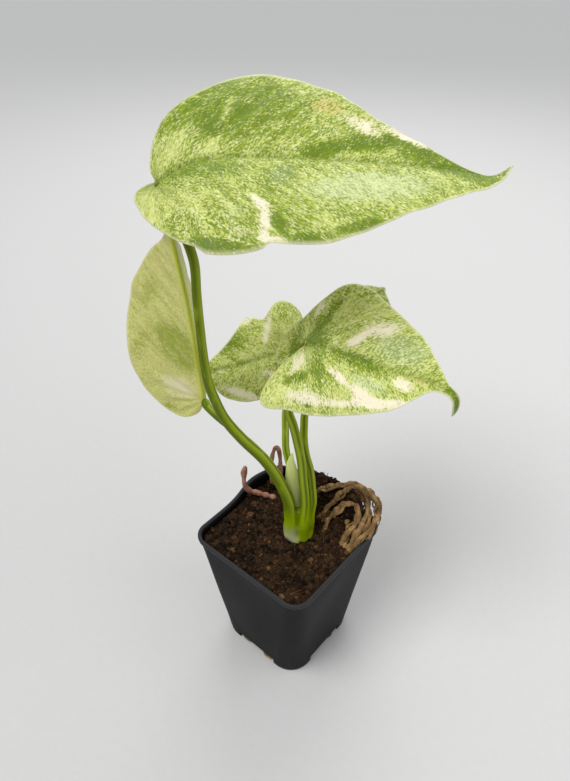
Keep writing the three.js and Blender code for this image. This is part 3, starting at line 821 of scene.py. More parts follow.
@dataclass(frozen=True)
class HalfSheet:
    """One half of a blade round its rib. Its places are distances along the rib and away from it."""

    blade: "Blade"
    rib: Rib
    half: Half
    side: int

    def front_points(self, along: np.ndarray, away: np.ndarray) -> np.ndarray:
        """The points of places in front of the lobe.

        Args:
            along: distances along the rib.
            away: distances away from it.

        Returns:
            The points, one a row.
        """
        samples = 16
        fold = table_at(self.half.fold, along)
        out, up = np.zeros_like(away), np.zeros_like(away)
        for i in range(samples):
            angle = np.radians(table_at(self.half.profile, away * (i + 0.5) / samples) * fold)
            out += np.cos(angle) * away / samples
            up += np.sin(angle) * away / samples
        across = self.rib.read("sideways", along) * (self.side * out)[:, None]
        return self.rib.read("at", along) + across + self.rib.read("upward", along) * up[:, None]

    def points(self, along: np.ndarray, away: np.ndarray) -> np.ndarray:
        """The points of places on the half, its lobe included.

        Args:
            along: distances along the rib, below 0 behind the attachment.
            away: distances away from it.

        Returns:
            The points, one a row.
        """
        rib, half, side = self.rib, self.half, self.side
        first = math.radians(half.lobe_from)
        reach, direction = polar(along, away)
        plain = self.front_points(along, away)
        hinge = self.front_points(reach * math.cos(first), reach * math.sin(first))
        rise = math.radians(half.profile[0][1] * half.fold[0][1])
        start, forward = rib.at[0], rib.forward[0]
        flank = rib.sideways[0] * side * math.cos(rise) + rib.upward[0] * math.sin(rise)
        axis = rib.upward[0] * math.cos(rise) - rib.sideways[0] * side * math.sin(rise)
        axis = axis - forward * half.lobe_droop * math.cos(first) - flank * half.lobe_droop * math.sin(first)
        pace = float(np.linalg.norm(axis))
        axis = axis * side / pace
        angle = ((direction - first) * pace)[:, None]
        arm = hinge - start
        spun = arm * np.cos(angle) + np.cross(axis, arm) * np.sin(angle)
        spun += axis * (arm @ axis)[:, None] * (1 - np.cos(angle))
        return np.where((direction <= first)[:, None], plain, start + spun)

    def vein_place(self, along: np.ndarray, away: np.ndarray) -> np.ndarray:
        """Where places lie among the side veins, which leave the rib and lean towards the tip.

        Args:
            along: distances along the rib.
            away: distances away from it.

        Returns:
            Across the veins, along them, and a part that tells the halves apart, one a row.
        """
        blade = self.blade
        slope = blade.vein_lean + blade.vein_curve * away
        lean = slope * away
        origin = along - lean
        reach, direction = polar(along, away)
        behind = direction - np.arctan(1 / slope)
        across = np.where(origin < 0, -np.maximum(behind, 0) * blade.vein_fan, origin)
        out = np.where(origin < 0, reach, np.hypot(lean, away))
        return np.stack([across, out, self.side * away * 0.4 + blade.seed], -1)

    def grid(self) -> Values:
        """The half's grid: columns along the outline and rows from the rib to the margin.

        Returns:
            The grid's points, distances and places, each by column and row.
        """
        blade = self.blade
        samples = 400
        run = smooth_curve(self.half.outline, closed_ends=True)
        outline = at_shares(run, np.linspace(0, 1, samples + 1))
        behind = 0.9 * np.nonzero(outline[:, 0] <= 0)[0].max() / samples
        column = np.arange(blade.lobe_columns + blade.rib_columns + 1)
        station = np.maximum(0, column - blade.lobe_columns) / blade.rib_columns
        share = behind * np.minimum(column / blade.lobe_columns, 1) + (1 - behind) * station
        margin = at_shares(run, share)
        out = np.linspace(0, 1, blade.rows + 1)[None, :]
        foot = (blade.length * station)[:, None]
        along = foot * (1 - out) + margin[:, 0:1] * out
        away = margin[:, 1:2] * out
        flat_along, flat_away = along.ravel(), away.ravel()
        to_margin = np.linalg.norm(margin - np.concatenate([foot, 0 * foot], 1), axis=1)
        return {
            "points": self.points(flat_along, flat_away).reshape(*along.shape, 3),
            "along": along,
            "away": self.side * away,
            "place": self.vein_place(flat_along, flat_away).reshape(*along.shape, 3),
            "to_margin": (1 - out) * to_margin[:, None],
            "from_rib": np.hypot(away, np.minimum(along, 0)),
        }


@dataclass(frozen=True)
class Blade:
    """A leaf blade with its swollen joint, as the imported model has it, in finer mesh."""

    length: float
    pitch: Table
    heading: Table
    roll: Table
    left: Half
    right: Half
    density: float
    patches: tuple[Patch, ...] = ()
    seed: float = 0.0
    lobe_columns: int = 34
    rib_columns: int = 96
    rows: int = 26
    rib_step: float = 0.5
    half_thickness: float = 0.32
    keel_depth: float = 1.2
    groove_depth: float = 0.5
    vein_spacing: float = 10.5
    vein_relief: float = 0.28
    vein_lean: float = 0.62
    vein_curve: float = 0.006
    vein_fan: float = 26.0
    ripple: float = 0.35

    def rib(self, attachment: Point) -> Rib:
        """The rib, integrated from its angles.

        Args:
            attachment: where it starts.

        Returns:
            The rib's places and directions.
        """
        count = round(self.length / self.rib_step)
        distances = np.arange(count + 1) * self.rib_step
        tables = (self.pitch, self.heading, self.roll)
        pitch, heading, roll = (np.radians(table_at(table, distances)) for table in tables)
        flat = np.cos(pitch)
        forward = np.stack([flat * np.cos(heading), flat * np.sin(heading), np.sin(pitch)], -1)
        level = np.stack([-np.sin(heading), np.cos(heading), np.zeros_like(heading)], -1)
        upright = np.cross(forward, level)
        cos, sin = np.cos(roll)[:, None], np.sin(roll)[:, None]
        steps = (forward[:-1] + forward[1:]) * self.rib_step / 2
        at = np.vstack([[attachment], np.array(attachment) + np.cumsum(steps, axis=0)])
        return Rib(distances, at, forward, level * cos + upright * sin, upright * cos - level * sin)

    def sheet(self, rib: Rib) -> tuple[Values, Faces]:
        """Both halves as one sheet with shared points on the rib.

        Args:
            rib: the blade's rib.

        Returns:
            The values of each point, and the faces.
        """
        pairs = ((Side.LEFT.value, self.left), (Side.RIGHT.value, self.right))
        halves = [(side, HalfSheet(self, rib, half, side).grid()) for side, half in pairs]
        columns = self.lobe_columns + self.rib_columns
        gathered: dict[str, list] = {key: [] for key in halves[0][1]}
        faces: Faces = []
        numbers: dict[tuple, int] = {}

        def number(side: int, grid: Values, column: int, row: int) -> int:
            """The point's number, which the halves share on the rib."""
            if column == 0 or (row == 0 and column <= self.lobe_columns):
                key = ("rib", 0)
            elif column == columns:
                key = ("rib", columns)
            elif row == 0:
                key = ("rib", column)
            else:
                key = (side, column, row)
            if key not in numbers:
                numbers[key] = len(gathered["along"])
                for name, rows in gathered.items():
                    rows.append(grid[name][column, row])
            return numbers[key]

        for side, grid in halves:
            for column in range(columns):
                for row in range(self.rows):
                    corners = ((column, row), (column, row + 1), (column + 1, row + 1), (column + 1, row))
                    ids = [number(side, grid, *corner) for corner in corners]
                    if side > 0:
                        ids.reverse()
                    face = tuple(dict.fromkeys(ids))
                    if len(face) > 2:
                        faces.append(face)
        return {key: np.array(rows) for key, rows in gathered.items()}, faces

    def relief(self, values: Values) -> np.ndarray:
        """The quilting between the veins and the ripple of the margin.

        Args:
            values: what the sheet's points carry.

        Returns:
            How far each point is raised.
        """
        across, out, _ = values["place"].T
        inner = smoothstep(out, 2, 12) * smoothstep(values["to_margin"], 0, 6)
        quilt = np.cos(2 * math.pi * across / self.vein_spacing) * self.vein_relief * inner
        wave = np.sin(across / 5.2 + self.seed) + 0.6 * np.sin(across / 2.9 + 1.7 * self.seed)
        near_edge = np.exp(-values["to_margin"] / 5) * smoothstep(out, 3, 14)
        return -quilt + wave * self.ripple * near_edge

    def painted(self, values: Values) -> np.ndarray:
        """The paint of the sheet, from the patches.

        Args:
            values: what the sheet's points carry.

        Returns:
            The share of each of the four paints, one point a row.
        """
        along, away = values["along"], values["away"]
        paint = np.zeros((len(along), 4))
        paint[:, GREEN] = self.density
        for patch in self.patches:
            turn = math.radians(patch.turn)
            x, y = along - patch.along, away - patch.away
            u = (x * math.cos(turn) + y * math.sin(turn)) / patch.long
            v = (-x * math.sin(turn) + y * math.cos(turn)) / patch.wide
            paint[:, patch.channel] += patch.strength * np.exp(-((u * u + v * v) ** 1.5))
        return np.clip(paint, 0, 1.4)

    def body(self, attachment: Point) -> MeshDraft:
        """The blade as a closed body with a grooved top, a keel and a rounded margin.

        Args:
            attachment: where its stalk ends.

        Returns:
            The draft, in the plant's frame.
        """
        values, faces = self.sheet(self.rib(attachment))
        points, from_rib, to_margin = values["points"], values["from_rib"], values["to_margin"]
        normals = np.zeros_like(points)
        for face in faces:
            a, b, c = (points[face[k]] for k in range(3))
            normals[list(face)] += np.cross(b - a, c - a)
        normals = unit(normals)
        points = points + normals * self.relief(values)[:, None]
        taper = np.clip(1 - values["along"] / self.length, 0, 1) * (values["along"] > -3)
        thick = self.half_thickness * (0.55 + 0.45 * smoothstep(to_margin, 0, 4))
        groove = self.groove_depth * hump(from_rib, 1.3) * taper
        keel = self.keel_depth * hump(from_rib, 1.2) * (0.25 + 0.75 * taper)
        upper = points + normals * (thick - groove)[:, None]
        lower = points - normals * (thick + keel)[:, None]

        count = len(points)
        edges: dict[tuple[int, int], int] = {}
        for face in faces:
            for a, b in zip(face, face[1:] + face[:1]):
                edges[(a, b)] = edges.get((a, b), 0) + 1
        rim = [(a, b) for (a, b) in edges if (b, a) not in edges]
        rim_points = sorted({i for edge in rim for i in edge})
        middle = {i: 2 * count + k for k, i in enumerate(rim_points)}
        outward = {i: np.zeros(3) for i in rim_points}
        for a, b in rim:
            push = np.cross(points[b] - points[a], normals[a])
            outward[a] += push
            outward[b] += push
        bulge = np.array([points[i] + unit(outward[i]) * self.half_thickness * 0.5 for i in rim_points])
        solid = faces + [tuple(i + count for i in reversed(face)) for face in faces]
        for a, b in rim:
            solid.append((b, a, middle[a], middle[b]))
            solid.append((middle[b], middle[a], a + count, b + count))

        order = np.concatenate([np.arange(count), np.arange(count), rim_points])
        under = np.concatenate([np.zeros(count), np.ones(count), np.full(len(rim_points), 0.5)])
        rim_tone = 1 - smoothstep(to_margin, 0.1, 1.3)
        carried = {"place": values["place"], "paint": self.painted(values)}
        carried = {key: rows[order] for key, rows in carried.items()}
        carried["edges"] = np.stack([hump(from_rib, 1.5)[order], rim_tone[order], under], -1)
        return MeshDraft(np.vstack([upper, lower, bulge]), solid, carried)


@dataclass(frozen=True)
class Stalk:
    """A stalk with a channel down one side, from the stem to its blade."""

    route: Route
    foot_radius: float
    end_radius: float
    channel: float
    foot_reach: float = 26.0
    knuckle_length: float = 6.0
    knuckle_radius: float = 2.2
    head_radius: float = 2.5
    sides: int = 28
    step: float = 1.2
    channel_depth: float = 0.3
    thin_by: float = 0.625

    def section(self, radius: np.ndarray, depth: np.ndarray) -> np.ndarray:
        """Sections by place: a round with a channel that faces forward.

        Args:
            radius: the radius at each place.
            depth: the share of the radius that the channel takes away at each place.

        Returns:
            Forward and sideways distances, by place and corner.
        """
        angle = round_angles(self.sides)
        cos, sin = np.cos(angle), np.sin(angle)
        hollow = hump(sin, 0.42) * (cos > 0)
        lips = 0.07 * hump(np.abs(sin) - 0.62, 0.2) * (cos > 0)
        reach = radius[:, None] * (1 - depth[:, None] * hollow[None, :] + lips[None, :])
        return np.stack([reach * cos, reach * sin], -1)

    def rod(self, start: float, end: float, knuckle: bool) -> MeshDraft:
        """A length of the stalk.

        Args:
            start: where it starts, as a share of the route.
            end: where it ends.
            knuckle: whether it is the swollen joint, which closes in a round head.

        Returns:
            The draft, in the plant's frame.
        """
        run = smooth_curve(self.route)
        length = run_length(run)
        count = max(6, round(length * (end - start) / self.step))
        shares = np.linspace(start, end, count + 1)
        thinned = np.minimum(1, shares / self.thin_by)
        radius = self.foot_radius + (self.end_radius - self.foot_radius) * thinned
        left = (1 - shares) * length
        swell = 1 - smoothstep(left, 1.0, self.knuckle_length + 3)
        radius = radius + (self.knuckle_radius - radius) * swell
        depth = self.channel_depth * (1 - 0.8 * swell)
        if knuckle:
            dome = np.clip((left - 0.2) / self.head_radius, 0, 1)
            radius = radius * np.sqrt(np.maximum(0.02, 1 - (1 - dome) ** 2))
        places, forward, sideways = frames_along(run, shares, self.channel)
        section = self.section(radius, depth)
        points = places[:, None] + forward[:, None] * section[..., 0:1]
        points = points + sideways[:, None] * section[..., 1:2]
        angle = np.tile(round_angles(self.sides), len(shares))
        along = np.repeat(shares * length, self.sides)
        place = np.stack([3 * np.cos(angle), along, 3 * np.sin(angle)], -1)
        # The edges of the channel, which carry a light band that is partly painted highlight.
        lip = hump(np.abs(np.sin(angle)) - 0.62, 0.3) * (np.cos(angle) > 0)
        foot = 1 - smoothstep(along, 0.3 * self.foot_reach, self.foot_reach)
        tones = np.stack([foot, lip, 0 * lip], -1)
        faces = ring_faces(len(shares), self.sides)
        return MeshDraft(points.reshape(-1, 3), faces, {"place": place, "tones": tones})


@dataclass(frozen=True)
class Leaf:
    """A stalk and the blade that it carries at its end."""

    name: str
    stalk: Stalk
    blade: Blade

    def build(self, leaf_material: Material, stalk_material: Material) -> None:
        """Builds both pieces in place of their nodes.

        Args:
            leaf_material: the blade's finish.
            stalk_material: the finish of the stalk and of its joint with the blade.
        """
        run = smooth_curve(self.stalk.route)
        joint = 1 - self.stalk.knuckle_length / run_length(run)
        shaft = self.stalk.rod(0.0, joint + 0.004, False).facing_out()
        shaft.points = turned(shaft.points)
        piece = make_object(f"stalk_{self.name}_fine", shaft, stalk_material)
        settle(piece, Slot.STALK, f"stalk_{self.name}")

        body = self.blade.body(self.stalk.route[-1]).facing_out()
        knuckle = self.stalk.rod(joint, 1.0, True).facing_out()
        count = len(knuckle.points)
        body.values["tones"] = np.zeros((len(body.points), 3))
        knuckle.values["paint"] = np.zeros((count, 4))
        knuckle.values["edges"] = np.zeros((count, 3))
        knuckle.finish = [1] * len(knuckle.faces)
        both = body.joined(knuckle)
        both.points = turned(both.points)
        piece = make_object(f"blade_{self.name}_fine", both, leaf_material, stalk_material)
        settle(piece, Slot.BLADE, f"blade_{self.name}")


def settle(piece: Piece, slot: Slot, *nodes: str) -> None:
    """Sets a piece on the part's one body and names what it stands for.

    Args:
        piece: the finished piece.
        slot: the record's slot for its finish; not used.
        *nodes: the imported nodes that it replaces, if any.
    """
    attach(piece, "root")
    if nodes:
        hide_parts(*nodes)
    log.info("%s: %d faces, in place of %s", piece.name, len(piece.data.polygons), nodes or "nothing")


# Stem and sheath


@dataclass(frozen=True)
class Stem:
    """The short stem: the feet of the stalks grown together, cream on the left and green on the right."""

    middle: Span = (5.2, -0.3)
    foot: Table = ((66.0, 6.4), (70.0, 6.6), (73.0, 7.2), (76.0, 7.7))
    flatten: float = 0.78
    join_from: float = 73.0
    join_to: float = 79.0
    part_from: float = 82.0
    top: float = 93.0
    cover: float = 0.55
    sink: float = 1.6
    least_reach: float = 2.5
    wrap_from: float = 75.6
    cream_fade: Span = (75.0, 87.0)
    sides: int = 96
    levels: int = 40

    def wrap(self, stalks: list[Stalk], z: float) -> np.ndarray:
        """How far the stalks' skin lies from the stem's middle at one height, by direction.

        Args:
            stalks: the stalks that start in the stem.
            z: the height.

        Returns:
            One distance for each side of the stem.
        """
        angle = round_angles(self.sides)
        ways = np.stack([np.cos(angle), np.sin(angle)], -1)
        reach = np.full(self.sides, self.least_reach)
        cover = self.cover - self.sink * smoothstep(z, self.part_from, self.top)
        for stalk in stalks:
            route = np.array(stalk.route, float)
            centre = np.array([np.interp(z, route[:6, 2], route[:6, k]) for k in (0, 1)]) - self.middle
            radius = stalk.foot_radius + cover
            ahead = ways @ centre
            off = np.maximum(0, (centre**2).sum() - ahead**2)
            hit = off < radius**2
            far = ahead + np.sqrt(np.maximum(0, radius**2 - off))
            reach = np.where(hit, np.maximum(reach, far), reach)
        kernel = np.array([1, 3, 5, 6, 5, 3, 1], float)
        wrapped = np.concatenate([reach[-3:], reach, reach[:3]])
        return np.convolve(wrapped, kernel / kernel.sum(), "valid")

    def build(self, stalks: list[Stalk], material: Material) -> None:
        """Builds the stem in place of its node.

        Args:
            stalks: the stalks that start in it.
            material: its finish.
        """
        heights = np.linspace(self.foot[0][0], self.top, self.levels)
        angle = round_angles(self.sides)
        rings = []
        for z in heights:
            plain = table_at(self.foot, z)
            oval = plain / np.sqrt(np.cos(angle) ** 2 + (np.sin(angle) / self.flatten) ** 2)
            share = smoothstep(z, self.join_from, self.join_to)
            reach = oval * (1 - share) + self.wrap(stalks, max(z, self.wrap_from)) * share
            x = self.middle[0] + reach * np.cos(angle)
            y = self.middle[1] + reach * np.sin(angle)
            rings.append(np.stack([x, y, np.full_like(x, z)], -1))
        points = np.vstack(rings)
        turn = np.tile(angle, self.levels)
        left = smoothstep(self.middle[0] - 1.2 - points[:, 0], -2.0, 2.5)
        low = 1 - smoothstep(points[:, 2], *self.cream_fade)
        tones = np.stack([left * low, 0 * left, 0 * left], -1)
        place = np.stack([6 * np.cos(turn), points[:, 2], 6 * np.sin(turn)], -1)
        faces = ring_faces(self.levels, self.sides)
        draft = MeshDraft(turned(points), faces, {"place": place, "tones": tones}).facing_out()
        settle(make_object("stem_fine", draft, material), Slot.STEM, "stem")


@dataclass(frozen=True)
class Sheath:
    """The cream, pointed sheath round the foot of one stalk, open on one side."""

    route: Route = (
        (4.2, 3.2, 93), (3.4, 3.8, 100), (2.2, 4.8, 107), (1.3, 6.2, 113.5), (1.1, 8.4, 118),
        (1.7, 10.4, 121.5),
    )
    radius: Table = ((0.0, 2.3), (0.2, 2.6), (0.4, 2.9), (0.6, 3.0), (0.8, 2.6), (1.0, 1.9))
    wrap: Table = ((0.0, 112.0), (0.4, 108.0), (0.6, 88.0), (0.8, 55.0), (1.0, 6.0))
    facing: float = -90.0
    thickness: float = 0.7
    ripple: float = 0.12
    rows: int = 44
    columns: int = 28

    def build(self, material: Material) -> None:
        """Builds the sheath in place of its node.

        Args:
            material: its finish.
        """
        shares = np.linspace(0, 1, self.rows)
        run = smooth_curve(self.route)
        places, forward, sideways = frames_along(run, shares, self.facing)
        radius, wrap = table_at(self.radius, shares), np.radians(table_at(self.wrap, shares))
        spread = np.linspace(-1, 1, self.columns + 1)
        border = np.tile(np.abs(spread) ** 6, 2)
        rings, place, tones = [], [], []
        for k, share in enumerate(shares):
            angle = wrap[k] * spread
            inner = radius[k] + self.ripple * np.sin(5 * angle + 6 * share)
            outer = inner + self.thickness * np.sqrt(np.maximum(0.03, 1 - spread**4))
            reach = np.concatenate([outer, inner[::-1]])
            both = np.concatenate([angle, angle[::-1]])
            ring = places[k] + forward[k] * (reach * np.cos(both))[:, None]
            rings.append(ring + sideways[k] * (reach * np.sin(both))[:, None])
            place.append(np.stack([3 * np.cos(both), 0 * both + 30 * share, 3 * np.sin(both)], -1))
            tones.append(np.stack([0 * both + 0.6 * (1 - share), border, 0 * both], -1))
        faces = ring_faces(self.rows, 2 * (self.columns + 1))
        values = {"place": np.vstack(place), "tones": np.vstack(tones)}
        draft = MeshDraft(turned(np.vstack(rings)), faces, values).facing_out()
        settle(make_object("sheath_fine", draft, material), Slot.SHEATH, "sheath")


# Roots


def new_geometry_tree(name: str, inputs: dict[str, tuple[str, object]]) -> NewTree:
    """A new geometry tree with one geometry in and one out.

    Args:
        name: the tree's name.
        inputs: socket kind and first value by input name.

    Returns:
        The tree, its input sockets by name and the socket of its result.
    """
    group = bpy.data.node_groups.new(name, "GeometryNodeTree")
    group.interface.new_socket("Geometry", in_out="INPUT", socket_type="NodeSocketGeometry")
    for key, (kind, value) in inputs.items():
        socket = group.interface.new_socket(key, in_out="INPUT", socket_type=kind)
        if value is not None:
            socket.default_value = value
    group.interface.new_socket("Geometry", in_out="OUTPUT", socket_type="NodeSocketGeometry")
    tree = Tree(group)
    start = tree.add("NodeGroupInput")
    end = tree.add("NodeGroupOutput")
    return tree, {key: start.outputs[key] for key in ("Geometry", *inputs)}, end.inputs["Geometry"]


def grown_by(source: Piece, tree: NodeTree, name: str, values: dict[str, object]) -> Piece:
    """What a geometry tree makes of an object, as a plain mesh object at the origin.

    Args:
        source: the object that the tree starts from. It is removed unless it is a mesh.
        tree: the geometry tree.
        name: the new piece's name.
        values: input values by name.

    Returns:
        The new object.
    """
    modifier = source.modifiers.new(name, "NODES")
    modifier.node_group = tree
    for item in tree.interface.items_tree:
        if item.in_out == "INPUT" and item.name in values:
            modifier[item.identifier] = values[item.name]
    graph = bpy.context.evaluated_depsgraph_get()
    mesh = bpy.data.meshes.new_from_object(source.evaluated_get(graph))
    source.modifiers.remove(modifier)
    if source.type != "MESH":
        bpy.data.objects.remove(source)
    mesh.name = name
    return linked(name, mesh)


def root_tree() -> NodeTree:
    """A tree that grows knobbly round roots along curves, thinned by each curve's own radius."""
    inputs = {
        "Step": (NUMBER, 0.0007),
        "Wiggle": (NUMBER, 0.0006),
        "Relief": (NUMBER, 0.00022),
        "Sides": ("NodeSocketInt", 12),
        "Seed": (NUMBER, 0.0),
        "Material": ("NodeSocketMaterial", None),
    }
    tree, given, result = new_geometry_tree("roots_along_curves", inputs)
    place = tree.get("GeometryNodeInputPosition")
    run = {"Curve": given["Geometry"], "Length": given["Step"]}
    run = tree.get("GeometryNodeResampleCurve", run, mode="LENGTH")
    bend = tree.wander(place, 160.0, given["Seed"], given["Wiggle"])
    bent = tree.get("GeometryNodeSetPosition", {"Geometry": run, "Offset": bend})
    ring = {"Resolution": given["Sides"], "Radius": 1.0}
    ring = tree.get("GeometryNodeCurvePrimitiveCircle", ring, mode="RADIUS")
    radius = tree.get("GeometryNodeInputRadius")
    skin = {"Curve": bent, "Profile Curve": ring, "Fill Caps": True, "Scale": radius}
    skin = tree.get("GeometryNodeCurveToMesh", skin)
    bumps = tree.wander(place, 900.0, given["Seed"], given["Relief"])
    rough = tree.get("GeometryNodeSetPosition", {"Geometry": skin, "Offset": bumps})
    smooth = tree.get("GeometryNodeSetShadeSmooth", {"Geometry": rough})
    tree.put(result, tree.dressed(smooth, given["Material"]))
    return tree.tree


@dataclass(frozen=True)
class Strand:
    """One root: its route in millimetres, and its radius at each end."""

    route: Route
    radius: float
    tip: float


def strand_curves(name: str, strands: list[Strand]) -> Piece:
    """A curve object with one smooth run for each strand.

    Args:
        name: the object's name.
        strands: the strands, in millimetres in the pot's frame.

    Returns:
        The curve object.
    """
    curves = bpy.data.curves.new(name, "CURVE")
    curves.dimensions = "3D"
    for index, strand in enumerate(strands):
        run = smooth_curve(strand.route)
        count = max(8, round(run_length(run) / 0.8))
        shares = np.linspace(0, 1, count)
        points = at_shares(run, shares) * MM
        ends = np.sqrt(np.clip(1 - np.abs(2 * shares - 1) ** 24, 0.08, 1))
        spline = curves.splines.new("POLY")
        spline.points.add(count - 1)
        spline.points.foreach_set("co", np.c_[points, np.ones(count)].ravel())
        swell = 1 + 0.15 * np.sin(points[:, 0] * 1900 + 2 * index)
        swell = swell + 0.13 * np.sin(points[:, 1] * 2900 + index)
        radii = (strand.radius + (strand.tip - strand.radius) * shares) * ends * swell * MM
        spline.points.foreach_set("radius", radii)
    return linked(name, curves)


def turned_route(route: Route) -> Route:
    """A route of the plant's frame in the pot's frame."""
    return tuple(map(tuple, turned(np.array(route, float))))


@dataclass(frozen=True)
class Roots:
    """The bare roots: a tan coil over the corner, two pinkish ones at the back, and ends in the slots."""

    knot: Point = (27, 5, 68)
    radius: float = 1.3
    rootlet_radius: Span = (0.5, 0.9)
    rootlets: int = 2
    stray: float = 2.2
    seed: int = 11
    corner: tuple[Route, ...] = (
        (
            (15, 19, 73), (14.5, 22, 79), (19.5, 25.5, 81.5), (27, 24.5, 83.5), (34.5, 20, 88),
            (40, 15.5, 89), (43.5, 11.5, 88), (45.5, 8, 84.5), (45, 3.5, 81.5), (42, -0.5, 80.5),
            (37.5, -5.5, 80), (33, -9.5, 78), (29.5, -9.5, 72),
        ),
        (
            (17, 5, 73), (19.5, 8, 79), (21.5, 13, 81), (25, 16.5, 82), (29.5, 18, 82.5), (32.5, 13, 81.5),
            (33.5, 5.5, 80.5), (33.5, -2.5, 80), (31.5, -7.5, 78), (28.5, -7, 72),
        ),
        (
            (14, 12, 73), (16.5, 14.5, 79.5), (22, 18, 82), (28.5, 21.5, 84), (35, 17, 86.5),
            (40, 12.5, 84.5), (41.5, 7, 81.5), (39.5, 0, 80.5), (35.5, -3.5, 78.5), (31, -3, 72),
        ),
        (
            (14, 9, 73), (17, 8, 79), (22, 10, 81), (27.5, 8.5, 81), (30, 2.5, 80), (29, -4.5, 77.5),
            (27, -8, 72),
        ),
        (
            (17, 7, 74), (19.5, 8.5, 82.5), (23, 10.5, 86.5), (26.5, 12, 90), (30.5, 13, 93),
            (36.5, 15, 92.5), (43, 17, 86), (46, 14, 81), (45, 5.5, 80), (41.5, -2.5, 79.5), (36, -7, 74),
        ),
        (
            (14, 20, 78), (16.5, 19, 86.5), (21.5, 18, 89.5), (27, 17, 92), (33, 14.5, 94), (38, 14, 91),
            (41.5, 12.5, 85), (40, 7, 83), (37, 0, 82), (34, -5.5, 80), (31, -7, 74),
        ),
        (
            (19, 2, 74), (21.5, 4.5, 82), (24, 6, 85.5), (27.5, 6.5, 88.5), (31.5, 6.5, 89.5),
            (34.5, 5.5, 87), (35, 2, 84), (32.5, -2, 82), (29, -4.5, 79.5), (26, -6, 73),
        ),
    )
    climbing: Route = (
        (-4.5, 22, 66), (-5, 24, 70.5), (-7, 25, 73.5), (-11, 25, 75.5), (-16.5, 25, 77.5), (-20, 24, 80),
        (-22.5, 24, 82.5), (-23.5, 24.5, 86), (-23.5, 26, 90.5), (-22.5, 27.5, 95),
    )
    arched: Route = (
        (-8.5, 39, 68), (-9.2, 40.5, 80), (-8.8, 42.5, 88), (-7.3, 43.5, 93), (-5.6, 43.5, 92.5),
        (-4.6, 43, 87), (-4.4, 41, 80), (-4, 38, 68),
    )
    drain: tuple[Route, ...] = (
        ((-11, -24, 2.6), (-9, -26.2, 3.4), (-6.5, -26.4, 3.0), (-4.5, -24.6, 2.2)),
        ((3.5, -24, 2.4), (6, -26.3, 3.2), (8.5, -26.5, 2.2), (10.5, -24.8, 2.4)),
        ((24, 1.5, 2.4), (26.2, 4, 3.3), (26.4, 6.5, 3.0), (24.6, 9, 2.6)),
    )

    def corner_strands(self) -> list[Strand]:
        """The thick roots over the corner, and thin rootlets that follow them.

        Returns:
            The strands, in the pot's frame.
        """
        draws = np.random.default_rng(self.seed)
        strands = []
        for route in self.corner:
            whole = turned_route((self.knot, *route, self.knot))
            strands.append(Strand(whole, self.radius, self.radius))
            for _ in range(self.rootlets):
                inner = np.array(route[1:-1], float)
                shift = draws.uniform(-self.stray, self.stray, inner.shape)
                shift[:, 2] = np.abs(shift[:, 2]) * 0.25 - 0.3
                thin = turned_route(tuple(map(tuple, inner + shift)))
                radius = float(draws.uniform(*self.rootlet_radius))
                strands.append(Strand(thin, radius, radius * 0.5))
        return strands

    def build(self, tan: Material, pink: Material) -> None:
        """Builds all the roots, in place of their nodes.

        Args:
            tan: the finish of the coiled roots and of those in the slots.
            pink: the finish of the two at the back.
        """
        tree = root_tree()
        climbing, arched = turned_route(self.climbing), turned_route(self.arched)
        rows = (
            ("roots_corner", self.corner_strands(), {"Seed": 1.0, "Wiggle": 0.003, "Relief": 0.0005}, tan),
            ("root_climbing", [Strand(climbing, 1.2, 1.6)], {"Seed": 2.0}, pink),
            ("root_arched", [Strand(arched, 1.3, 1.3)], {"Seed": 3.0}, pink),
        )
        for node, strands, values, finish in rows:
            curves = strand_curves(node + "_curves", strands)
            piece = grown_by(curves, tree, node + "_fine", {**values, "Material": finish})
            settle(piece, Slot.TAN_ROOT if finish is tan else Slot.PINK_ROOT, node)
        ends = strand_curves("drain_curves", [Strand(route, 0.8, 0.5) for route in self.drain])
        settle(grown_by(ends, tree, "roots_in_slots", {"Seed": 4.0, "Material": tan}), Slot.TAN_ROOT)


# Pot and peat


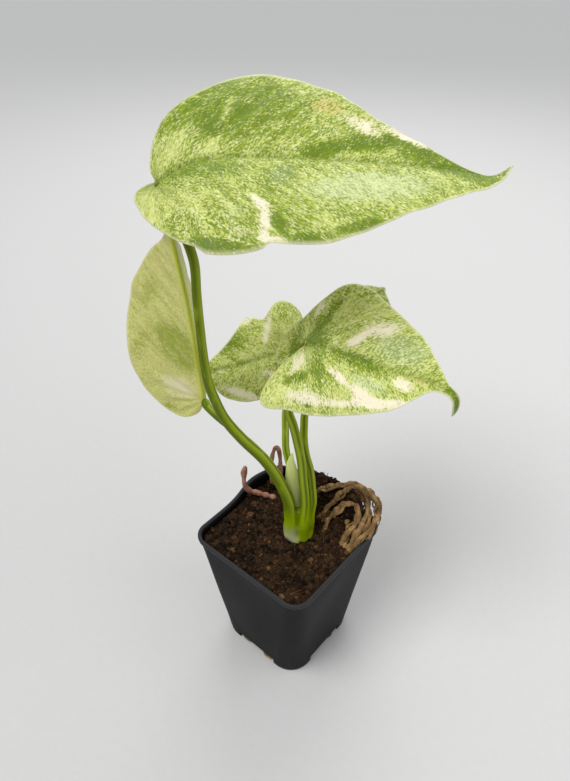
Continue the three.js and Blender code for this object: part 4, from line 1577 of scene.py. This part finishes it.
@dataclass(frozen=True)
class PotShape:
    """The sizes of the square, tapered pot, in millimetres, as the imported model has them."""

    height: float = 78.0
    rim_half: float = 35.0
    rim_radius: float = 8.0
    foot_half: float = 26.5
    foot_radius: float = 12.5
    lip_height: float = 2.3
    lip_proud: float = 0.8
    wall: float = 1.2
    floor: float = 1.5
    slot_width: float = 25.0
    slot_height: float = 5.0
    slot_depth: float = 5.0
    bulge_depth: float = 4.0
    bulge_start: float = 30.0
    bulge_half_width: float = 13.0
    bulge_back_left: float = 14.0
    bulge_back_right: float = 3.0

    def outer_half(self, z: float) -> float:
        """Half the width of the wall's outside at this height."""
        growth = self.rim_half - self.lip_proud - self.foot_half
        return self.foot_half + growth * min(max(z, 0), self.height) / self.height

    def corner_radius(self, z: float) -> float:
        """The radius of the wall's outside corners at this height."""
        growth = self.rim_radius - self.foot_radius
        return self.foot_radius + growth * min(max(z, 0), self.height) / self.height

    def ring(self, inset: float, z: float, corner_steps: int = 12, side_steps: int = 18) -> np.ndarray:
        """A rounded square inside the wall's outside, pushed out where the root ball bulges.

        Args:
            inset: how far inside the wall's outside it runs.
            z: its height.
            corner_steps: steps round each corner.
            side_steps: steps along each side.

        Returns:
            The ring's points, one a row.
        """
        half = self.outer_half(z) - inset
        radius = max(self.corner_radius(z) - inset, 0.5)
        corner = np.radians(np.linspace(0, 90, corner_steps + 1))
        centre = half - radius
        flat = np.stack([centre + radius * np.cos(corner), centre + radius * np.sin(corner)], -1)
        side = centre * (1 - 2 * np.arange(1, side_steps) / side_steps)
        quarter = np.vstack([flat, np.stack([side, np.full_like(side, half)], -1)])
        turns = ((1, 0), (0, 1), (-1, 0), (0, -1))
        ring = np.vstack([quarter @ np.array([[cos, sin], [-sin, cos]]) for cos, sin in turns])
        x, y = ring.T
        rise = smoothstep(z, self.bulge_start, self.height) * self.bulge_depth
        share = half / self.outer_half(z)
        out_x = -hump(y - self.bulge_back_left, self.bulge_half_width) * (x < 0) * rise * share
        out_y = hump(x - self.bulge_back_right, self.bulge_half_width) * (y > 0) * rise * share
        return np.stack([x + out_x, y + out_y, np.full_like(x, z)], -1)


@dataclass(frozen=True)
class Pot:
    """The nursery pot: thin walls, a rolled lip and a drain slot low in each side."""

    shape: PotShape
    dent: float = 0.22
    sharp_from: float = 50.0

    def profile(self) -> list[tuple[float, float, float]]:
        """Inset, height and lip share of each ring, up the outside, over the lip and down the inside; the
        lip share sets the painted highlight along the lip.
        """
        shape = self.shape
        lip = shape.height - shape.lip_height
        outside = [(1.1, 0.0, 0.0), (0.35, 0.25, 0.0), (0.0, 1.0, 0.0)]
        outside += [(0.0, z, 0.0) for z in np.linspace(4, lip - 1.2, 22)]
        roll = [
            (0.0, lip - 0.35, 0.3), (-0.15, lip - 0.08, 0.7), (-0.6, lip, 1.0), (-0.8, lip + 0.35, 1.0),
            (-0.8, lip + 1.5, 1.0), (-0.68, lip + 2.0, 1.0), (-0.35, lip + 2.25, 1.0), (0.2, lip + 2.3, 1.0),
            (0.8, lip + 2.2, 1.0), (1.1, lip + 1.9, 0.8), (1.2, lip + 1.2, 0.4),
        ]
        inside = [(shape.wall, z, 0.0) for z in np.linspace(lip - 1, shape.floor + 1.5, 20)]
        inside += [(shape.wall + 0.4, shape.floor + 0.4, 0.0), (shape.wall + 1.5, shape.floor, 0.0)]
        return outside + roll + inside

    def slot_cutter(self) -> Piece:
        """The four blocks that cut the drain slots.

        Returns:
            One object with all four.
        """
        shape = self.shape
        reach = 2 * shape.slot_depth
        centre = Vector((shape.foot_half - shape.slot_depth + reach / 2, 0, 0)) * MM
        size = Matrix.Diagonal((reach * MM, shape.slot_width * MM, 2 * shape.slot_height * MM, 1))
        work = bmesh.new()
        for side in range(4):
            turn = Matrix.Rotation(math.pi / 2 * side, 4, "Z")
            bmesh.ops.create_cube(work, size=1.0, matrix=turn @ Matrix.Translation(centre) @ size)
        mesh = bpy.data.meshes.new("slot_cutter")
        work.to_mesh(mesh)
        work.free()
        return linked("slot_cutter", mesh)

    def build(self, material: Material) -> None:
        """Builds the pot in place of its node.

        Args:
            material: its finish.
        """
        rows = self.profile()
        points = np.vstack([self.shape.ring(inset, z) for inset, z, _ in rows])
        count = len(points) // len(rows)
        x, y, z = points.T
        low = smoothstep(z, 2, 20) * (1 - smoothstep(z, 66, 75))
        push = self.dent * low * (np.sin(0.11 * x + 0.05 * z) + np.sin(0.13 * y - 0.06 * z + 1.0))
        points[:, :2] += unit(points[:, :2]) * push[:, None]
        # How much of the painted lip highlight each point carries.
        lip = np.repeat([share for _, _, share in rows], count)
        draft = MeshDraft(points, ring_faces(len(rows), count), {"lip": lip}).facing_out()
        whole = make_object("pot_whole", draft, material)
        cutter = self.slot_cutter()
        cut = whole.modifiers.new("slots", "BOOLEAN")
        cut.operation, cut.object, cut.solver = "DIFFERENCE", cutter, "EXACT"
        graph = bpy.context.evaluated_depsgraph_get()
        final = bpy.data.meshes.new_from_object(whole.evaluated_get(graph))
        for spare in (whole, cutter):
            bpy.data.objects.remove(spare)
        final.materials.clear()
        final.materials.append(material)
        final.polygons.foreach_set("material_index", [0] * len(final.polygons))
        final.shade_smooth()
        mark_sharp(final, math.radians(self.sharp_from))
        settle(linked("pot_fine", final), Slot.POT, "pot")


def mark_sharp(mesh: bpy.types.Mesh, angle: float) -> None:
    """Marks the edges that turn by more than an angle as sharp.

    Args:
        mesh: the mesh.
        angle: the least angle of a sharp edge, in radians.
    """
    work = bmesh.new()
    work.from_mesh(mesh)
    for edge in work.edges:
        if edge.is_manifold:
            edge.smooth = edge.calc_face_angle(0.0) < angle
    work.to_mesh(mesh)
    work.free()


@dataclass(frozen=True)
class Peat:
    """The peat: a lumpy bed that fills the pot, heaped at the back, with crumbs strewn over it."""

    shape: PotShape
    level: float = 74.0
    clod: Span = (21.0, 29.0)
    clod_height: float = 9.0
    clod_reach: float = 7.0
    heap_height: float = 16.0
    heap_reach: float = 15.0
    heap_from: float = -27.0
    heap_to: float = 30.0
    heap_rise: float = 12.0
    heap_fall: float = 16.0
    hollow_depth: float = 5.0
    hollow: Span = (-31.0, 18.0)
    hollow_reach: float = 10.0
    edge_level: float = 79.0
    wall_gap: float = 0.5
    lump: float = 0.9
    rings: int = 52
    crumb_density: float = 620000.0
    seed: int = 5

    def height_at(self, x: np.ndarray, y: np.ndarray) -> np.ndarray:
        """The peat's height at places in the pot's frame, all in millimetres.

        Args:
            x: the places' distances along X.
            y: their distances along Y.

        Returns:
            The height at each place.
        """
        along = smoothstep(x, self.heap_from, self.heap_from + self.heap_rise)
        along = along * (1 - smoothstep(x, self.heap_to - self.heap_fall, self.heap_to))
        heap = self.heap_height * hump(y - self.shape.rim_half, self.heap_reach) * along
        away = np.hypot(x - self.hollow[0], y - self.hollow[1])
        clod = self.clod_height * hump(np.hypot(x - self.clod[0], y - self.clod[1]), self.clod_reach)
        return self.level + heap + clod - self.hollow_depth * hump(away, self.hollow_reach)

    def bed(self) -> MeshDraft:
        """The bed's closed body, with a tone by its lumps and a share of crumbs to sow.

        Returns:
            The draft, in the pot's frame.
        """
        inset = self.shape.wall + self.wall_gap
        sides = [self.shape.ring(inset, z) for z in (self.shape.floor + 0.3, 12, 25, 38, 50, 60, 68)]
        rim = self.shape.ring(inset, self.level)
        rim[:, 2] = np.minimum(self.height_at(rim[:, 0], rim[:, 1]), self.edge_level)
        shares = np.linspace(1, 0.012, self.rings)
        tops = []
        for share in shares:
            ring = rim * share
            blend = smoothstep(share, 0.93, 1.0)
            ring[:, 2] = self.height_at(ring[:, 0], ring[:, 1]) * (1 - blend) + rim[:, 2] * blend
            tops.append(ring)
        top = np.vstack(tops)
        lumps = np.array([self.lumps_at(Vector(point)) for point in top])
        top[:, 2] += lumps * self.lump
        points = np.vstack([*sides, top])
        count = len(rim)
        # The bed's tone follows its lumps, darker in the hollows as painted shade.
        tone = np.concatenate([np.full(len(points) - len(top), 0.25), 0.34 + 0.3 * lumps])
        inner = np.repeat(smoothstep(1 - shares, 0.004, 0.03), count)
        sow = np.concatenate([np.zeros(len(points) - len(top)), inner])
        faces = ring_faces(len(sides) + self.rings, count)
        return MeshDraft(points, faces, {"tone": tone, "sow": sow}).facing_out()

    def lumps_at(self, point: Vector) -> float:
        """Lumps of several sizes at a place, about −1 to 1."""
        total = 0.0
        for scale, weight in ((0.16, 0.55), (0.42, 0.55), (1.1, 0.3)):
            total += weight * noise.noise(point * scale + Vector((self.seed, 0, 0)))
        return total

    def build(self, material: Material) -> None:
        """Builds the bed in place of its node, and its crumbs.

        Args:
            material: the peat's finish.
        """
        bed = make_object("soil_fine", self.bed(), material)
        values = {"Density": self.crumb_density, "Seed": self.seed, "Material": material}
        crumbs = grown_by(bed, crumb_tree(), "soil_crumbs", values)
        settle(bed, Slot.PEAT, "soil")
        settle(crumbs, Slot.PEAT)


def crumb_tree() -> NodeTree:
    """A tree that strews crumbs and fibres of several shapes over a surface, where its sow value is high."""
    inputs = {
        "Density": (NUMBER, 1.0),
        "Smallest": (NUMBER, 0.00022),
        "Largest": (NUMBER, 0.0018),
        "Fibres": (NUMBER, 0.05),
        "Seed": ("NodeSocketInt", 1),
        "Material": ("NodeSocketMaterial", None),
    }
    tree, given, result = new_geometry_tree("strewn_peat_crumbs", inputs)
    sow = tree.get("GeometryNodeInputNamedAttribute", {"Name": "sow"}, "Attribute", data_type="FLOAT")
    place = tree.get("GeometryNodeInputPosition")

    def random(low: float, high: float, salt: int) -> Socket:
        """A random number for each point."""
        return tree.get("FunctionNodeRandomValue", {2: low, 3: high, "Seed": salt}, 1, data_type="FLOAT")

    def crumb(fineness: int, salt: float, squash: Point) -> Socket:
        """One rough crumb of unit size."""
        ball = tree.get("GeometryNodeMeshIcoSphere", {"Radius": 1.0, "Subdivisions": fineness})
        dents = tree.wander(place, 1.3, salt, 1.7)
        rough = tree.get("GeometryNodeSetPosition", {"Geometry": ball, "Offset": dents})
        return tree.get("GeometryNodeTransform", {"Geometry": rough, "Scale": squash})

    def fibre(bend: float) -> Socket:
        """One thin bent fibre, several units long."""
        arc = {"Resolution": 6, "Start": (-3.5, 0, 0.3), "Middle": (0, bend, 1.0), "End": (3.5, 0.5, 0.2)}
        arc = tree.get("GeometryNodeCurveQuadraticBezier", arc)
        ring = tree.get("GeometryNodeCurvePrimitiveCircle", {"Resolution": 5, "Radius": 0.22}, mode="RADIUS")
        return tree.get("GeometryNodeCurveToMesh", {"Curve": arc, "Profile Curve": ring, "Fill Caps": True})

    def strew(shapes: list[Socket], share: object, high: object, salt: int, tones: Span) -> Socket:
        """Shapes strewn over the surface as instances, each with its own tone.

        Args:
            shapes: the shapes to choose from.
            share: their share of the density.
            high: the largest size.
            salt: a number that sets their random draws apart.
            tones: the lowest and highest tone.

        Returns:
            The instances.
        """
        density = tree.times(tree.times(given["Density"], share), sow)
        seed = tree.plus(given["Seed"], float(salt))
        sowing = {"Mesh": given["Geometry"], "Density": density, "Seed": seed}
        points = tree.get("GeometryNodeDistributePointsOnFaces", sowing, distribute_method="RANDOM")
        kinds = [tree.get("GeometryNodeGeometryToInstance", {"Geometry": shape}) for shape in shapes]
        spins = {axis: random(-most, most, salt + 2 + axis) for axis, most in enumerate((0.9, 0.9, 6.28))}
        low = given["Smallest"]
        pick = tree.math("POWER", random(0, 1, salt + 6), 2.4)
        placing = {
            "Points": points,
            "Instance": tree.joined(kinds),
            "Pick Instance": True,
            "Instance Index": tree.math("FLOOR", random(0, len(shapes) - 0.001, salt + 1)),
            "Rotation": tree.get("ShaderNodeCombineXYZ", spins),
            "Scale": tree.plus(low, tree.times(pick, tree.minus(high, low))),
        }
        placed = tree.get("GeometryNodeInstanceOnPoints", placing)
        toned = {"Geometry": placed, "Name": "tone", "Value": random(*tones, salt + 7)}
        return tree.get("GeometryNodeStoreNamedAttribute", toned, data_type="FLOAT", domain="INSTANCE")

    crumbs = [
        crumb(1, 0.0, (1.0, 0.8, 0.7)), crumb(1, 3.1, (1.2, 0.7, 0.6)), crumb(2, 5.7, (1.0, 0.9, 0.8)),
        crumb(1, 8.3, (0.8, 1.1, 0.9)),
    ]
    high = given["Largest"]
    heap = strew(crumbs, 1.0, high, 20, (0.05, 0.95))
    thin = strew([fibre(1.2), fibre(2.4)], given["Fibres"], tree.times(high, 0.6), 60, (0.6, 1.2))
    tree.put(result, tree.dressed(tree.joined([heap, thin]), given["Material"]))
    return tree.tree


# Studio


@dataclass(frozen=True)
class Lamp:
    """A soft light: a far sun as wide as its size in degrees, or a square with sides of its size in metres.

    It hangs in the plant's frame, in millimetres, and is turned to a height above the pot's foot in metres.
    """

    name: str
    kind: str
    at: Point
    height: float
    size: float
    power: float

    def hang(self) -> None:
        """Hangs the lamp."""
        lamp = bpy.data.lights.new(self.name, self.kind)
        lamp.energy = self.power
        if self.kind == "SUN":
            lamp.angle = math.radians(self.size)
        else:
            lamp.shape, lamp.size = "SQUARE", self.size
        piece = linked(self.name, lamp)
        piece.location = turned(np.array(self.at)) * MM
        piece.rotation_mode = "QUATERNION"
        piece.rotation_quaternion = (Vector((0, 0, self.height)) - piece.location).to_track_quat("-Z", "Y")


@dataclass(frozen=True)
class Studio:
    """The floor, the lights and the camera at the photograph's angle."""

    camera_at: Point = (-2.0, -214.0, 331.0)
    pitch: float = 37.6
    roll: float = 0.2
    focal_pixels: float = 640.0
    image_height: float = 781.0
    sensor: float = 36.0
    clip: Span = (0.01, 50.0)
    floor_half: float = 8.0
    room: Colour = srgb(226, 230, 236)
    room_strength: float = 0.5
    lamps: tuple[Lamp, ...] = (
        Lamp("key_light", "SUN", (-550.0, -350.0, 1150.0), 0.0, 32.0, 2.0),
        Lamp("fill_light", "AREA", (650.0, -250.0, 750.0), 0.13, 0.9, 3.0),
        Lamp("back_light", "AREA", (100.0, 800.0, 900.0), 0.13, 0.8, 5.0),
    )

    def floor(self) -> None:
        """Lays the pale floor."""
        half = self.floor_half
        mesh = bpy.data.meshes.new("studio_floor")
        corners = [(-half, -half, 0), (half, -half, 0), (half, half, 0), (-half, half, 0)]
        mesh.from_pydata(corners, [], [(0, 1, 2, 3)])
        mesh.materials.append(FloorFinish().material())
        linked("studio_floor", mesh)

    def camera(self) -> None:
        """Places the camera."""
        pitch, roll = math.radians(self.pitch), math.radians(self.roll)
        forward = np.array([0, math.cos(pitch), -math.sin(pitch)])
        level = np.array([1.0, 0, 0])
        up = np.cross(level, forward)
        right = level * math.cos(roll) + up * math.sin(roll)
        above = -level * math.sin(roll) + up * math.cos(roll)
        axes = turned(np.array([right, above, -forward]))
        data = bpy.data.cameras.new("photo_camera")
        data.sensor_width = self.sensor
        data.lens = self.focal_pixels * self.sensor / self.image_height
        data.clip_start, data.clip_end = self.clip
        piece = linked("photo_camera", data)
        pose = Matrix(axes.T.tolist()).to_4x4()
        pose.translation = Vector(turned(np.array(self.camera_at)) * MM)
        piece.matrix_world = pose
        bpy.context.scene.camera = piece

    def build(self) -> None:
        """Builds the floor, the lights, the pale surroundings and the camera."""
        self.floor()
        for lamp in self.lamps:
            lamp.hang()
        world = bpy.data.worlds.new("pale_room")
        world.use_nodes = True
        background = world.node_tree.nodes["Background"]
        background.inputs["Color"].default_value = self.room
        background.inputs["Strength"].default_value = self.room_strength
        bpy.context.scene.world = world
        bpy.context.scene.view_settings.view_transform = "Standard"
        self.camera()


# The five leaves


TOP_LEAF = Leaf(
    "top",
    Stalk(
        route=(
            (1.3, -2.4, 75.5), (0.6, -2.2, 90), (-0.4, -2, 101), (-5, -1, 114), (-11.5, 0.5, 125.5),
            (-21, 2, 136.5), (-28.5, 4, 146.5), (-32.5, 4.5, 157.5), (-35, 5, 168), (-36, 5.5, 183),
            (-36.5, 6.5, 206), (-36.5, 7.5, 221), (-40, 11.5, 231.5), (-44.5, 19, 237.5), (-49, 26, 241.5),
            (-51.5, 29.5, 244),
        ),
        foot_radius=3.1,
        end_radius=2,
        channel=0,
    ),
    Blade(
        length=137.5,
        pitch=((0, 33), (10, 29), (20, 8), (40, -1), (110, -4), (126, -11), (134, 44)),
        heading=((0, 4), (60, -2), (140, -8)),
        roll=((0, 24), (60, 23), (140, 18)),
        left=Half(
            profile=((0, 14), (20, 6), (60, -8)),
            fold=((0, 1.2), (60, 1), (130, 0.6)),
            outline=(
                (0, 0), (-0.5, 6), (2.3, 13.5), (6, 20.5), (13, 28.5), (23, 36), (36, 41.5), (50, 41.5),
                (62, 37.5), (76, 30), (88, 19.5), (100, 13), (112, 5.5), (122, 1.2), (137.5, 0),
            ),
        ),
        right=Half(
            profile=((0, 12), (20, 2), (60, -24)),
            fold=((0, 1.2), (60, 1), (130, 0.6)),
            outline=(
                (0, 0), (-5, -4.5), (-9, -6.5), (-11.5, -4.5), (-11.5, 1), (-10, 8), (-8, 15), (-5, 22.5),
                (-2, 28), (3, 35.5), (12, 43), (24, 46.5), (35, 47), (44, 45.5), (47.5, 43), (60, 43),
                (72, 41.5), (83, 36.5), (95, 29.5), (107, 22), (118, 15), (128, 7), (134, 3.5), (137.5, 0),
            ),
        ),
        density=0.52,
        # On the right half, the mint band beside the rib at along 83 and the thinner green under it are
        # painted reflection; on the left half, the green strokes close to the rib from along 64 to 112 are
        # painted shade.
        patches=(
            Patch(GREEN, 33, 24, 23, 15.5, 10, 0.25), Patch(GREEN, 10, 10, 8, 6.5, 40, -0.2),
            Patch(GREEN, 30, 23, 7, 1.5, 75, -0.3), Patch(GREEN, 24, 6, 5, 2, 45, -0.3),
            Patch(GREEN, 24, 14, 3, 2.5, 60, 0.6), Patch(TAN, 66, 26, 7, 5.5, -5, 0.9),
            Patch(CREAM, 80, 17, 9, 4, -30, 0.85), Patch(TAN, 78, 21, 6, 2.5, -25, 0.5),
            Patch(CREAM, 98, 13, 12, 2.5, -25, 1), Patch(GREEN, 64, 4, 8, 3, 15, 0.4),
            Patch(GREEN, 82, 9, 13, 3.5, 15, 0.42), Patch(GREEN, 112, 4, 19, 6, -20, 0.42),
            Patch(MINT, 83, -15, 27, 9.5, 10, 1), Patch(GREEN, 83, -16, 25, 8, 5, -0.1),
            Patch(MINT, 50, -11, 9, 5, 50, 0.6), Patch(GREEN, 50, -11, 9, 5, 50, 0.15),
            Patch(MINT, 34, -31, 7, 3.5, 20, 0.6), Patch(CREAM, 42, -26, 5, 2, -45, 1.1),
            Patch(CREAM, 45, -35, 8, 2.5, -90, 0.95), Patch(CREAM, 49, -42, 6, 1.5, -5, 1.1),
            Patch(GREEN, 50, -35, 5, 2.5, -55, 0.4), Patch(GREEN, 60, -41, 8, 2, 5, 0.42),
            Patch(GREEN, 23, -43, 19, 2.5, -10, 0.4), Patch(GREEN, 81, -35, 9, 2, 15, 0.42),
            Patch(CREAM, 34, -39, 6, 2.5, 10, 0.6), Patch(GREEN, 12, -22, 12, 5, -20, -0.15),
            Patch(GREEN, -6, -11, 13, 5.5, -75, -0.3), Patch(GREEN, 20, -6, 19, 5.5, -15, 0.2),
        ),
    ),
)

LEFT_LEAF = Leaf(
    "left",
    Stalk(
        route=(
            (0.6, 3.2, 75.5), (-0.5, 4.5, 95), (-4, 5.8, 108), (-10, 7, 119), (-17.5, 8.5, 128),
            (-25, 9.5, 135), (-31, 11, 140), (-35.5, 13.5, 143), (-38, 17, 143.5), (-40, 21, 144.5),
        ),
        foot_radius=1.7,
        end_radius=1.6,
        channel=20,
    ),
    Blade(
        length=94,
        pitch=((0, 86), (10, 82), (45, 82.5), (65, 79), (94, 80)),
        heading=((0, -95), (80, -120)),
        roll=((0, -12), (94, -12)),
        left=Half(
            profile=((0, 108), (7, 124), (35, 128)),
            fold=((0, 0.93), (94, 1.17)),
            outline=(
                (0, 0), (-6, 2), (-9, 7), (-9, 13), (-5, 18), (0, 21), (7, 23.5), (16, 25.5), (27, 26.5),
                (39, 26), (50, 24), (62, 20), (71, 15), (80, 9.5), (88, 4), (94, 0),
            ),
        ),
        right=Half(
            profile=((0, 8), (15, 2), (35, -12)),
            fold=((0, 1), (90, 0.8)),
            outline=(
                (0, 0), (-8.5, 3), (-13.5, 9), (-14.5, 15), (-11.5, 22), (-4, 29), (3.5, 33), (11.5, 36),
                (22, 37), (35.5, 36.5), (46, 34), (54.5, 31.5), (62, 27.5), (74.5, 18), (83, 8.5), (89, 3),
                (94, 0),
            ),
        ),
        density=0.3,
        patches=(
            Patch(TAN, 68, -14, 16, 5.5, 30, 0.45), Patch(GREEN, 28, -10, 12, 10, -40, 0.85),
            Patch(CREAM, 4, -13, 10, 7, -75, 0.9), Patch(GREEN, -10, -19, 4, 2, -85, 0.5),
            Patch(GREEN, 54, -22, 8, 3, 30, 0.3), Patch(GREEN, 26, -30, 9, 3, 35, 0.25),
        ),
        seed=37,
    ),
)

BACK_LEFT_LEAF = Leaf(
    "back_left",
    Stalk(
        route=(
            (5.2, 2.6, 75.5), (4.2, 3.2, 95), (2.5, 4.3, 105), (1, 6, 113.5), (-1.4, 12, 121),
            (-1.7, 19, 127.5), (-1.8, 27, 131), (-1.3, 34, 129.5), (-0.5, 43, 127.5), (1, 53, 128.5),
            (1.8, 59.5, 133.5), (1, 62.5, 139), (-1, 63.5, 144),
        ),
        foot_radius=1.9,
        end_radius=1.7,
        channel=-90,
    ),
    Blade(
        length=51,
        pitch=((0, -8), (15, -9), (42, -2), (62, 21)),
        heading=((0, 200), (62, 195)),
        roll=((0, -28), (60, -28)),
        left=Half(
            profile=((0, 12), (12, 0), (36, -26)),
            fold=((0, 1), (62, 0.8)),
            lobe_droop=0.3,
            outline=(
                (0, 0), (-5, 3), (-10.5, 6), (-13.5, 11.5), (-12.5, 17.5), (-7.5, 21.5), (0, 22.5),
                (10.5, 23), (21.5, 22), (29, 21), (36, 17.5), (39.5, 13.5), (41.5, 9), (44.5, 4), (47.5, 2),
                (51, 0),
            ),
        ),
        right=Half(
            profile=((0, 14), (15, 8), (36, -6)),
            fold=((0, 1), (62, 0.8)),
            lobe_droop=0.3,
            outline=(
                (0, 0), (-5, 3), (-11.5, 8.5), (-15.5, 14.5), (-14.5, 20.5), (-11, 25.5), (-6, 27.5),
                (-2, 26), (2.5, 22.5), (6, 20), (10.5, 22.5), (14, 24), (17.5, 22), (24, 17), (30.5, 12),
                (39.5, 6.5), (44.5, 3.5), (47.5, 1.7), (51, 0),
            ),
        ),
        density=0.42,
        patches=(
            Patch(CREAM, 6, -14, 10, 2, 60, 0.95), Patch(CREAM, 14, -22, 4, 2, 25, 0.95),
            Patch(CREAM, 30, 16, 11, 2.5, -35, 1.1), Patch(CREAM, 14, 10, 4, 2.5, -25, 0.8),
            Patch(GREEN, 28, -13, 11, 6.5, 10, 0.25), Patch(CREAM, 37, 1, 2, 1.5, -25, 0.8),
        ),
        seed=74,
    ),
)

FRONT_RIGHT_LEAF = Leaf(
    "front_right",
    Stalk(
        route=(
            (7.2, -2.8, 75.5), (7.6, -2.5, 90), (7.8, -2, 101), (6.6, -1.5, 114.5), (5.5, -0.5, 126.5),
            (3.5, 0.5, 137.5), (1.6, 1.5, 146), (-0.5, 3, 152.5), (-0.5, 4.5, 161), (1.2, 6, 171),
            (4.4, 7, 179.5), (7.5, 7, 185.5),
        ),
        foot_radius=2.3,
        end_radius=2,
        channel=-60,
    ),
    Blade(
        length=73,
        pitch=((0, -5), (15, -4.5), (30, -5.5), (50, -1), (60, -17), (66, -81), (72, -106)),
        heading=((0, -18), (30, -28), (70, -28)),
        roll=((0, 24), (20, 30), (60, 28)),
        left=Half(
            profile=((0, 14), (15, 8), (35, -8)),
            fold=((0, -1.5), (18, 1), (60, 0.8)),
            lobe_from=70,
            lobe_droop=1,
            outline=(
                (0, 0), (-8, 1), (-16, 2), (-20.5, 4.5), (-17, 10), (-11, 13.5), (-6, 16.5), (-2.5, 20.5),
                (1.5, 25.5), (6, 31), (11.5, 33), (17, 30.5), (23, 26.5), (28, 24), (36, 20), (44.5, 16),
                (51.5, 9), (56.5, 4), (59.5, 2), (64, 1.5), (69, 1.2), (73, 0),
            ),
        ),
        right=Half(
            profile=((0, 12), (12, 0), (35, -30)),
            fold=((0, 1), (60, 0.8)),
            lobe_droop=0.3,
            outline=(
                (0, 0), (-6.5, 14.5), (-11, 20.5), (-13.5, 26), (-12.5, 30.5), (-7.5, 32), (1, 31),
                (13, 29.5), (29, 24), (39.5, 18.5), (45, 14), (50, 8), (53.5, 4), (57, 2.3), (61, 2.2),
                (67, 2.6), (71, 1.6), (73, 0),
            ),
        ),
        density=0.43,
        # The green stroke at 75 degrees from along 3, away 14 is painted shade in the fold across the left
        # lobe; the cream stroke beside it, at away 19, is partly the blade's cream and partly painted light
        # on the fold's lit side.
        patches=(
            Patch(GREEN, 2, 3, 7, 4, 35, 0.4), Patch(GREEN, 3, 14, 15, 2, 75, 0.35),
            Patch(CREAM, 0, 19, 6, 1.5, 75, 0.9), Patch(GREEN, 14, 20, 12, 7.5, 0, -0.08),
            Patch(CREAM, 18, 6, 5, 2, 50, 1), Patch(CREAM, 26, 14, 9, 3.5, 35, 1),
            Patch(MINT, 37, 9, 13, 6.5, 5, 1), Patch(GREEN, 37, 9, 15, 8, 5, 0.08),
            Patch(GREEN, 23, -2, 13, 3, -5, 0.35), Patch(TAN, 49, -1, 10, 4, 0, 0.55),
            Patch(CREAM, 43, -5, 5, 3, -5, 0.9), Patch(CREAM, 17, -11, 7, 2, -20, 1.1),
            Patch(CREAM, 30, -15, 7, 3, -20, 1.1), Patch(CREAM, 37, -16, 21, 2, 20, 1.1),
            Patch(MINT, 30, -10, 9, 3.5, 0, 0.9), Patch(GREEN, 8, -11, 9, 3, -65, 0.3),
            Patch(CREAM, -1, -11, 7, 3, 80, 0.8), Patch(GREEN, 0, -18, 6, 2, 35, 0.45),
            Patch(GREEN, 8, -26, 3, 1.5, 0, 0.6), Patch(CREAM, 8, -24, 12, 3.5, 10, 0.8),
            Patch(GREEN, -7, -26, 7, 4, 45, -0.2), Patch(GREEN, -9, 2, 8, 4, 75, 0.3),
            Patch(MINT, -6, -8, 4, 3.5, 50, 0.9), Patch(GREEN, 68, 0, 10, 6, 0, 0.4),
        ),
        seed=111,
    ),
)

BACK_RIGHT_OUTLINE = (
    (0, 0), (-3, 1.5), (-7, 3.5), (-9.5, 7), (-8.5, 11.5), (-4.5, 15), (1, 16), (6.5, 15.5),
    (12.5, 13.5), (18, 10.5), (23, 6.5), (27.5, 2.5), (30.5, 1.2), (34, 0),
)

BACK_RIGHT_LEAF = Leaf(
    "back_right",
    Stalk(
        route=(
            (10.3, 1.2, 75.5), (11.2, 1, 90), (11.9, 1, 98), (11.1, 2, 107.5), (10, 3, 116.5),
            (7.9, 5, 124.5), (6.9, 8, 131), (6.9, 11, 137.5), (7.3, 14, 142), (10, 19, 149.5),
            (16, 26, 157), (24, 33.5, 167), (32.5, 38, 173.5),
        ),
        foot_radius=2,
        end_radius=1.8,
        channel=-90,
    ),
    Blade(
        length=34,
        pitch=((0, 23), (15, 13), (28, 1), (34, -27)),
        heading=((0, 63), (60, 63)),
        roll=((0, 31), (60, 31)),
        left=Half(
            profile=((0, 16), (12, 8), (30, -10)),
            fold=((0, 1), (60, 0.8)),
            lobe_from=80,
            lobe_droop=0.5,
            outline=BACK_RIGHT_OUTLINE,
        ),
        right=Half(
            profile=((0, 14), (12, 0), (30, -24)),
            fold=((0, 1), (60, 0.8)),
            lobe_from=80,
            lobe_droop=0.5,
            outline=BACK_RIGHT_OUTLINE,
        ),
        density=0.55,
        seed=148,
    ),
)

LEAVES = (TOP_LEAF, LEFT_LEAF, BACK_LEFT_LEAF, FRONT_RIGHT_LEAF, BACK_RIGHT_LEAF)


def main() -> None:
    """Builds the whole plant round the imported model, and the studio."""
    logging.basicConfig(level=logging.INFO, format="%(message)s")
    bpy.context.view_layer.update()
    Groups.make()
    leaf = BladeFinish().material()
    stalk = StalkFinish("green_stalk", srgb(86, 104, 0), srgb(152, 168, 34), srgb(150, 174, 0)).material()
    stem = StalkFinish("stem_foot", srgb(126, 148, 0), srgb(156, 170, 46), srgb(214, 210, 166)).material()
    sheath = StalkFinish("cream_sheath", srgb(206, 212, 136), srgb(228, 228, 178), srgb(160, 176, 66))
    sheath = sheath.material()
    tan = RootFinish("tan_root", srgb(112, 84, 48), srgb(162, 128, 82), srgb(36, 24, 14)).material()
    pink = RootFinish("pinkish_root", srgb(142, 96, 78), srgb(178, 132, 108), srgb(70, 46, 34)).material()
    for entry in LEAVES:
        entry.build(leaf, stalk)
    Stem().build([entry.stalk for entry in LEAVES], stem)
    Sheath().build(sheath)
    Roots().build(tan, pink)
    shape = PotShape()
    Pot(shape).build(PotFinish().material())
    Peat(shape).build(PeatFinish().material())
    Studio().build()


if __name__ == "__main__":
    main()
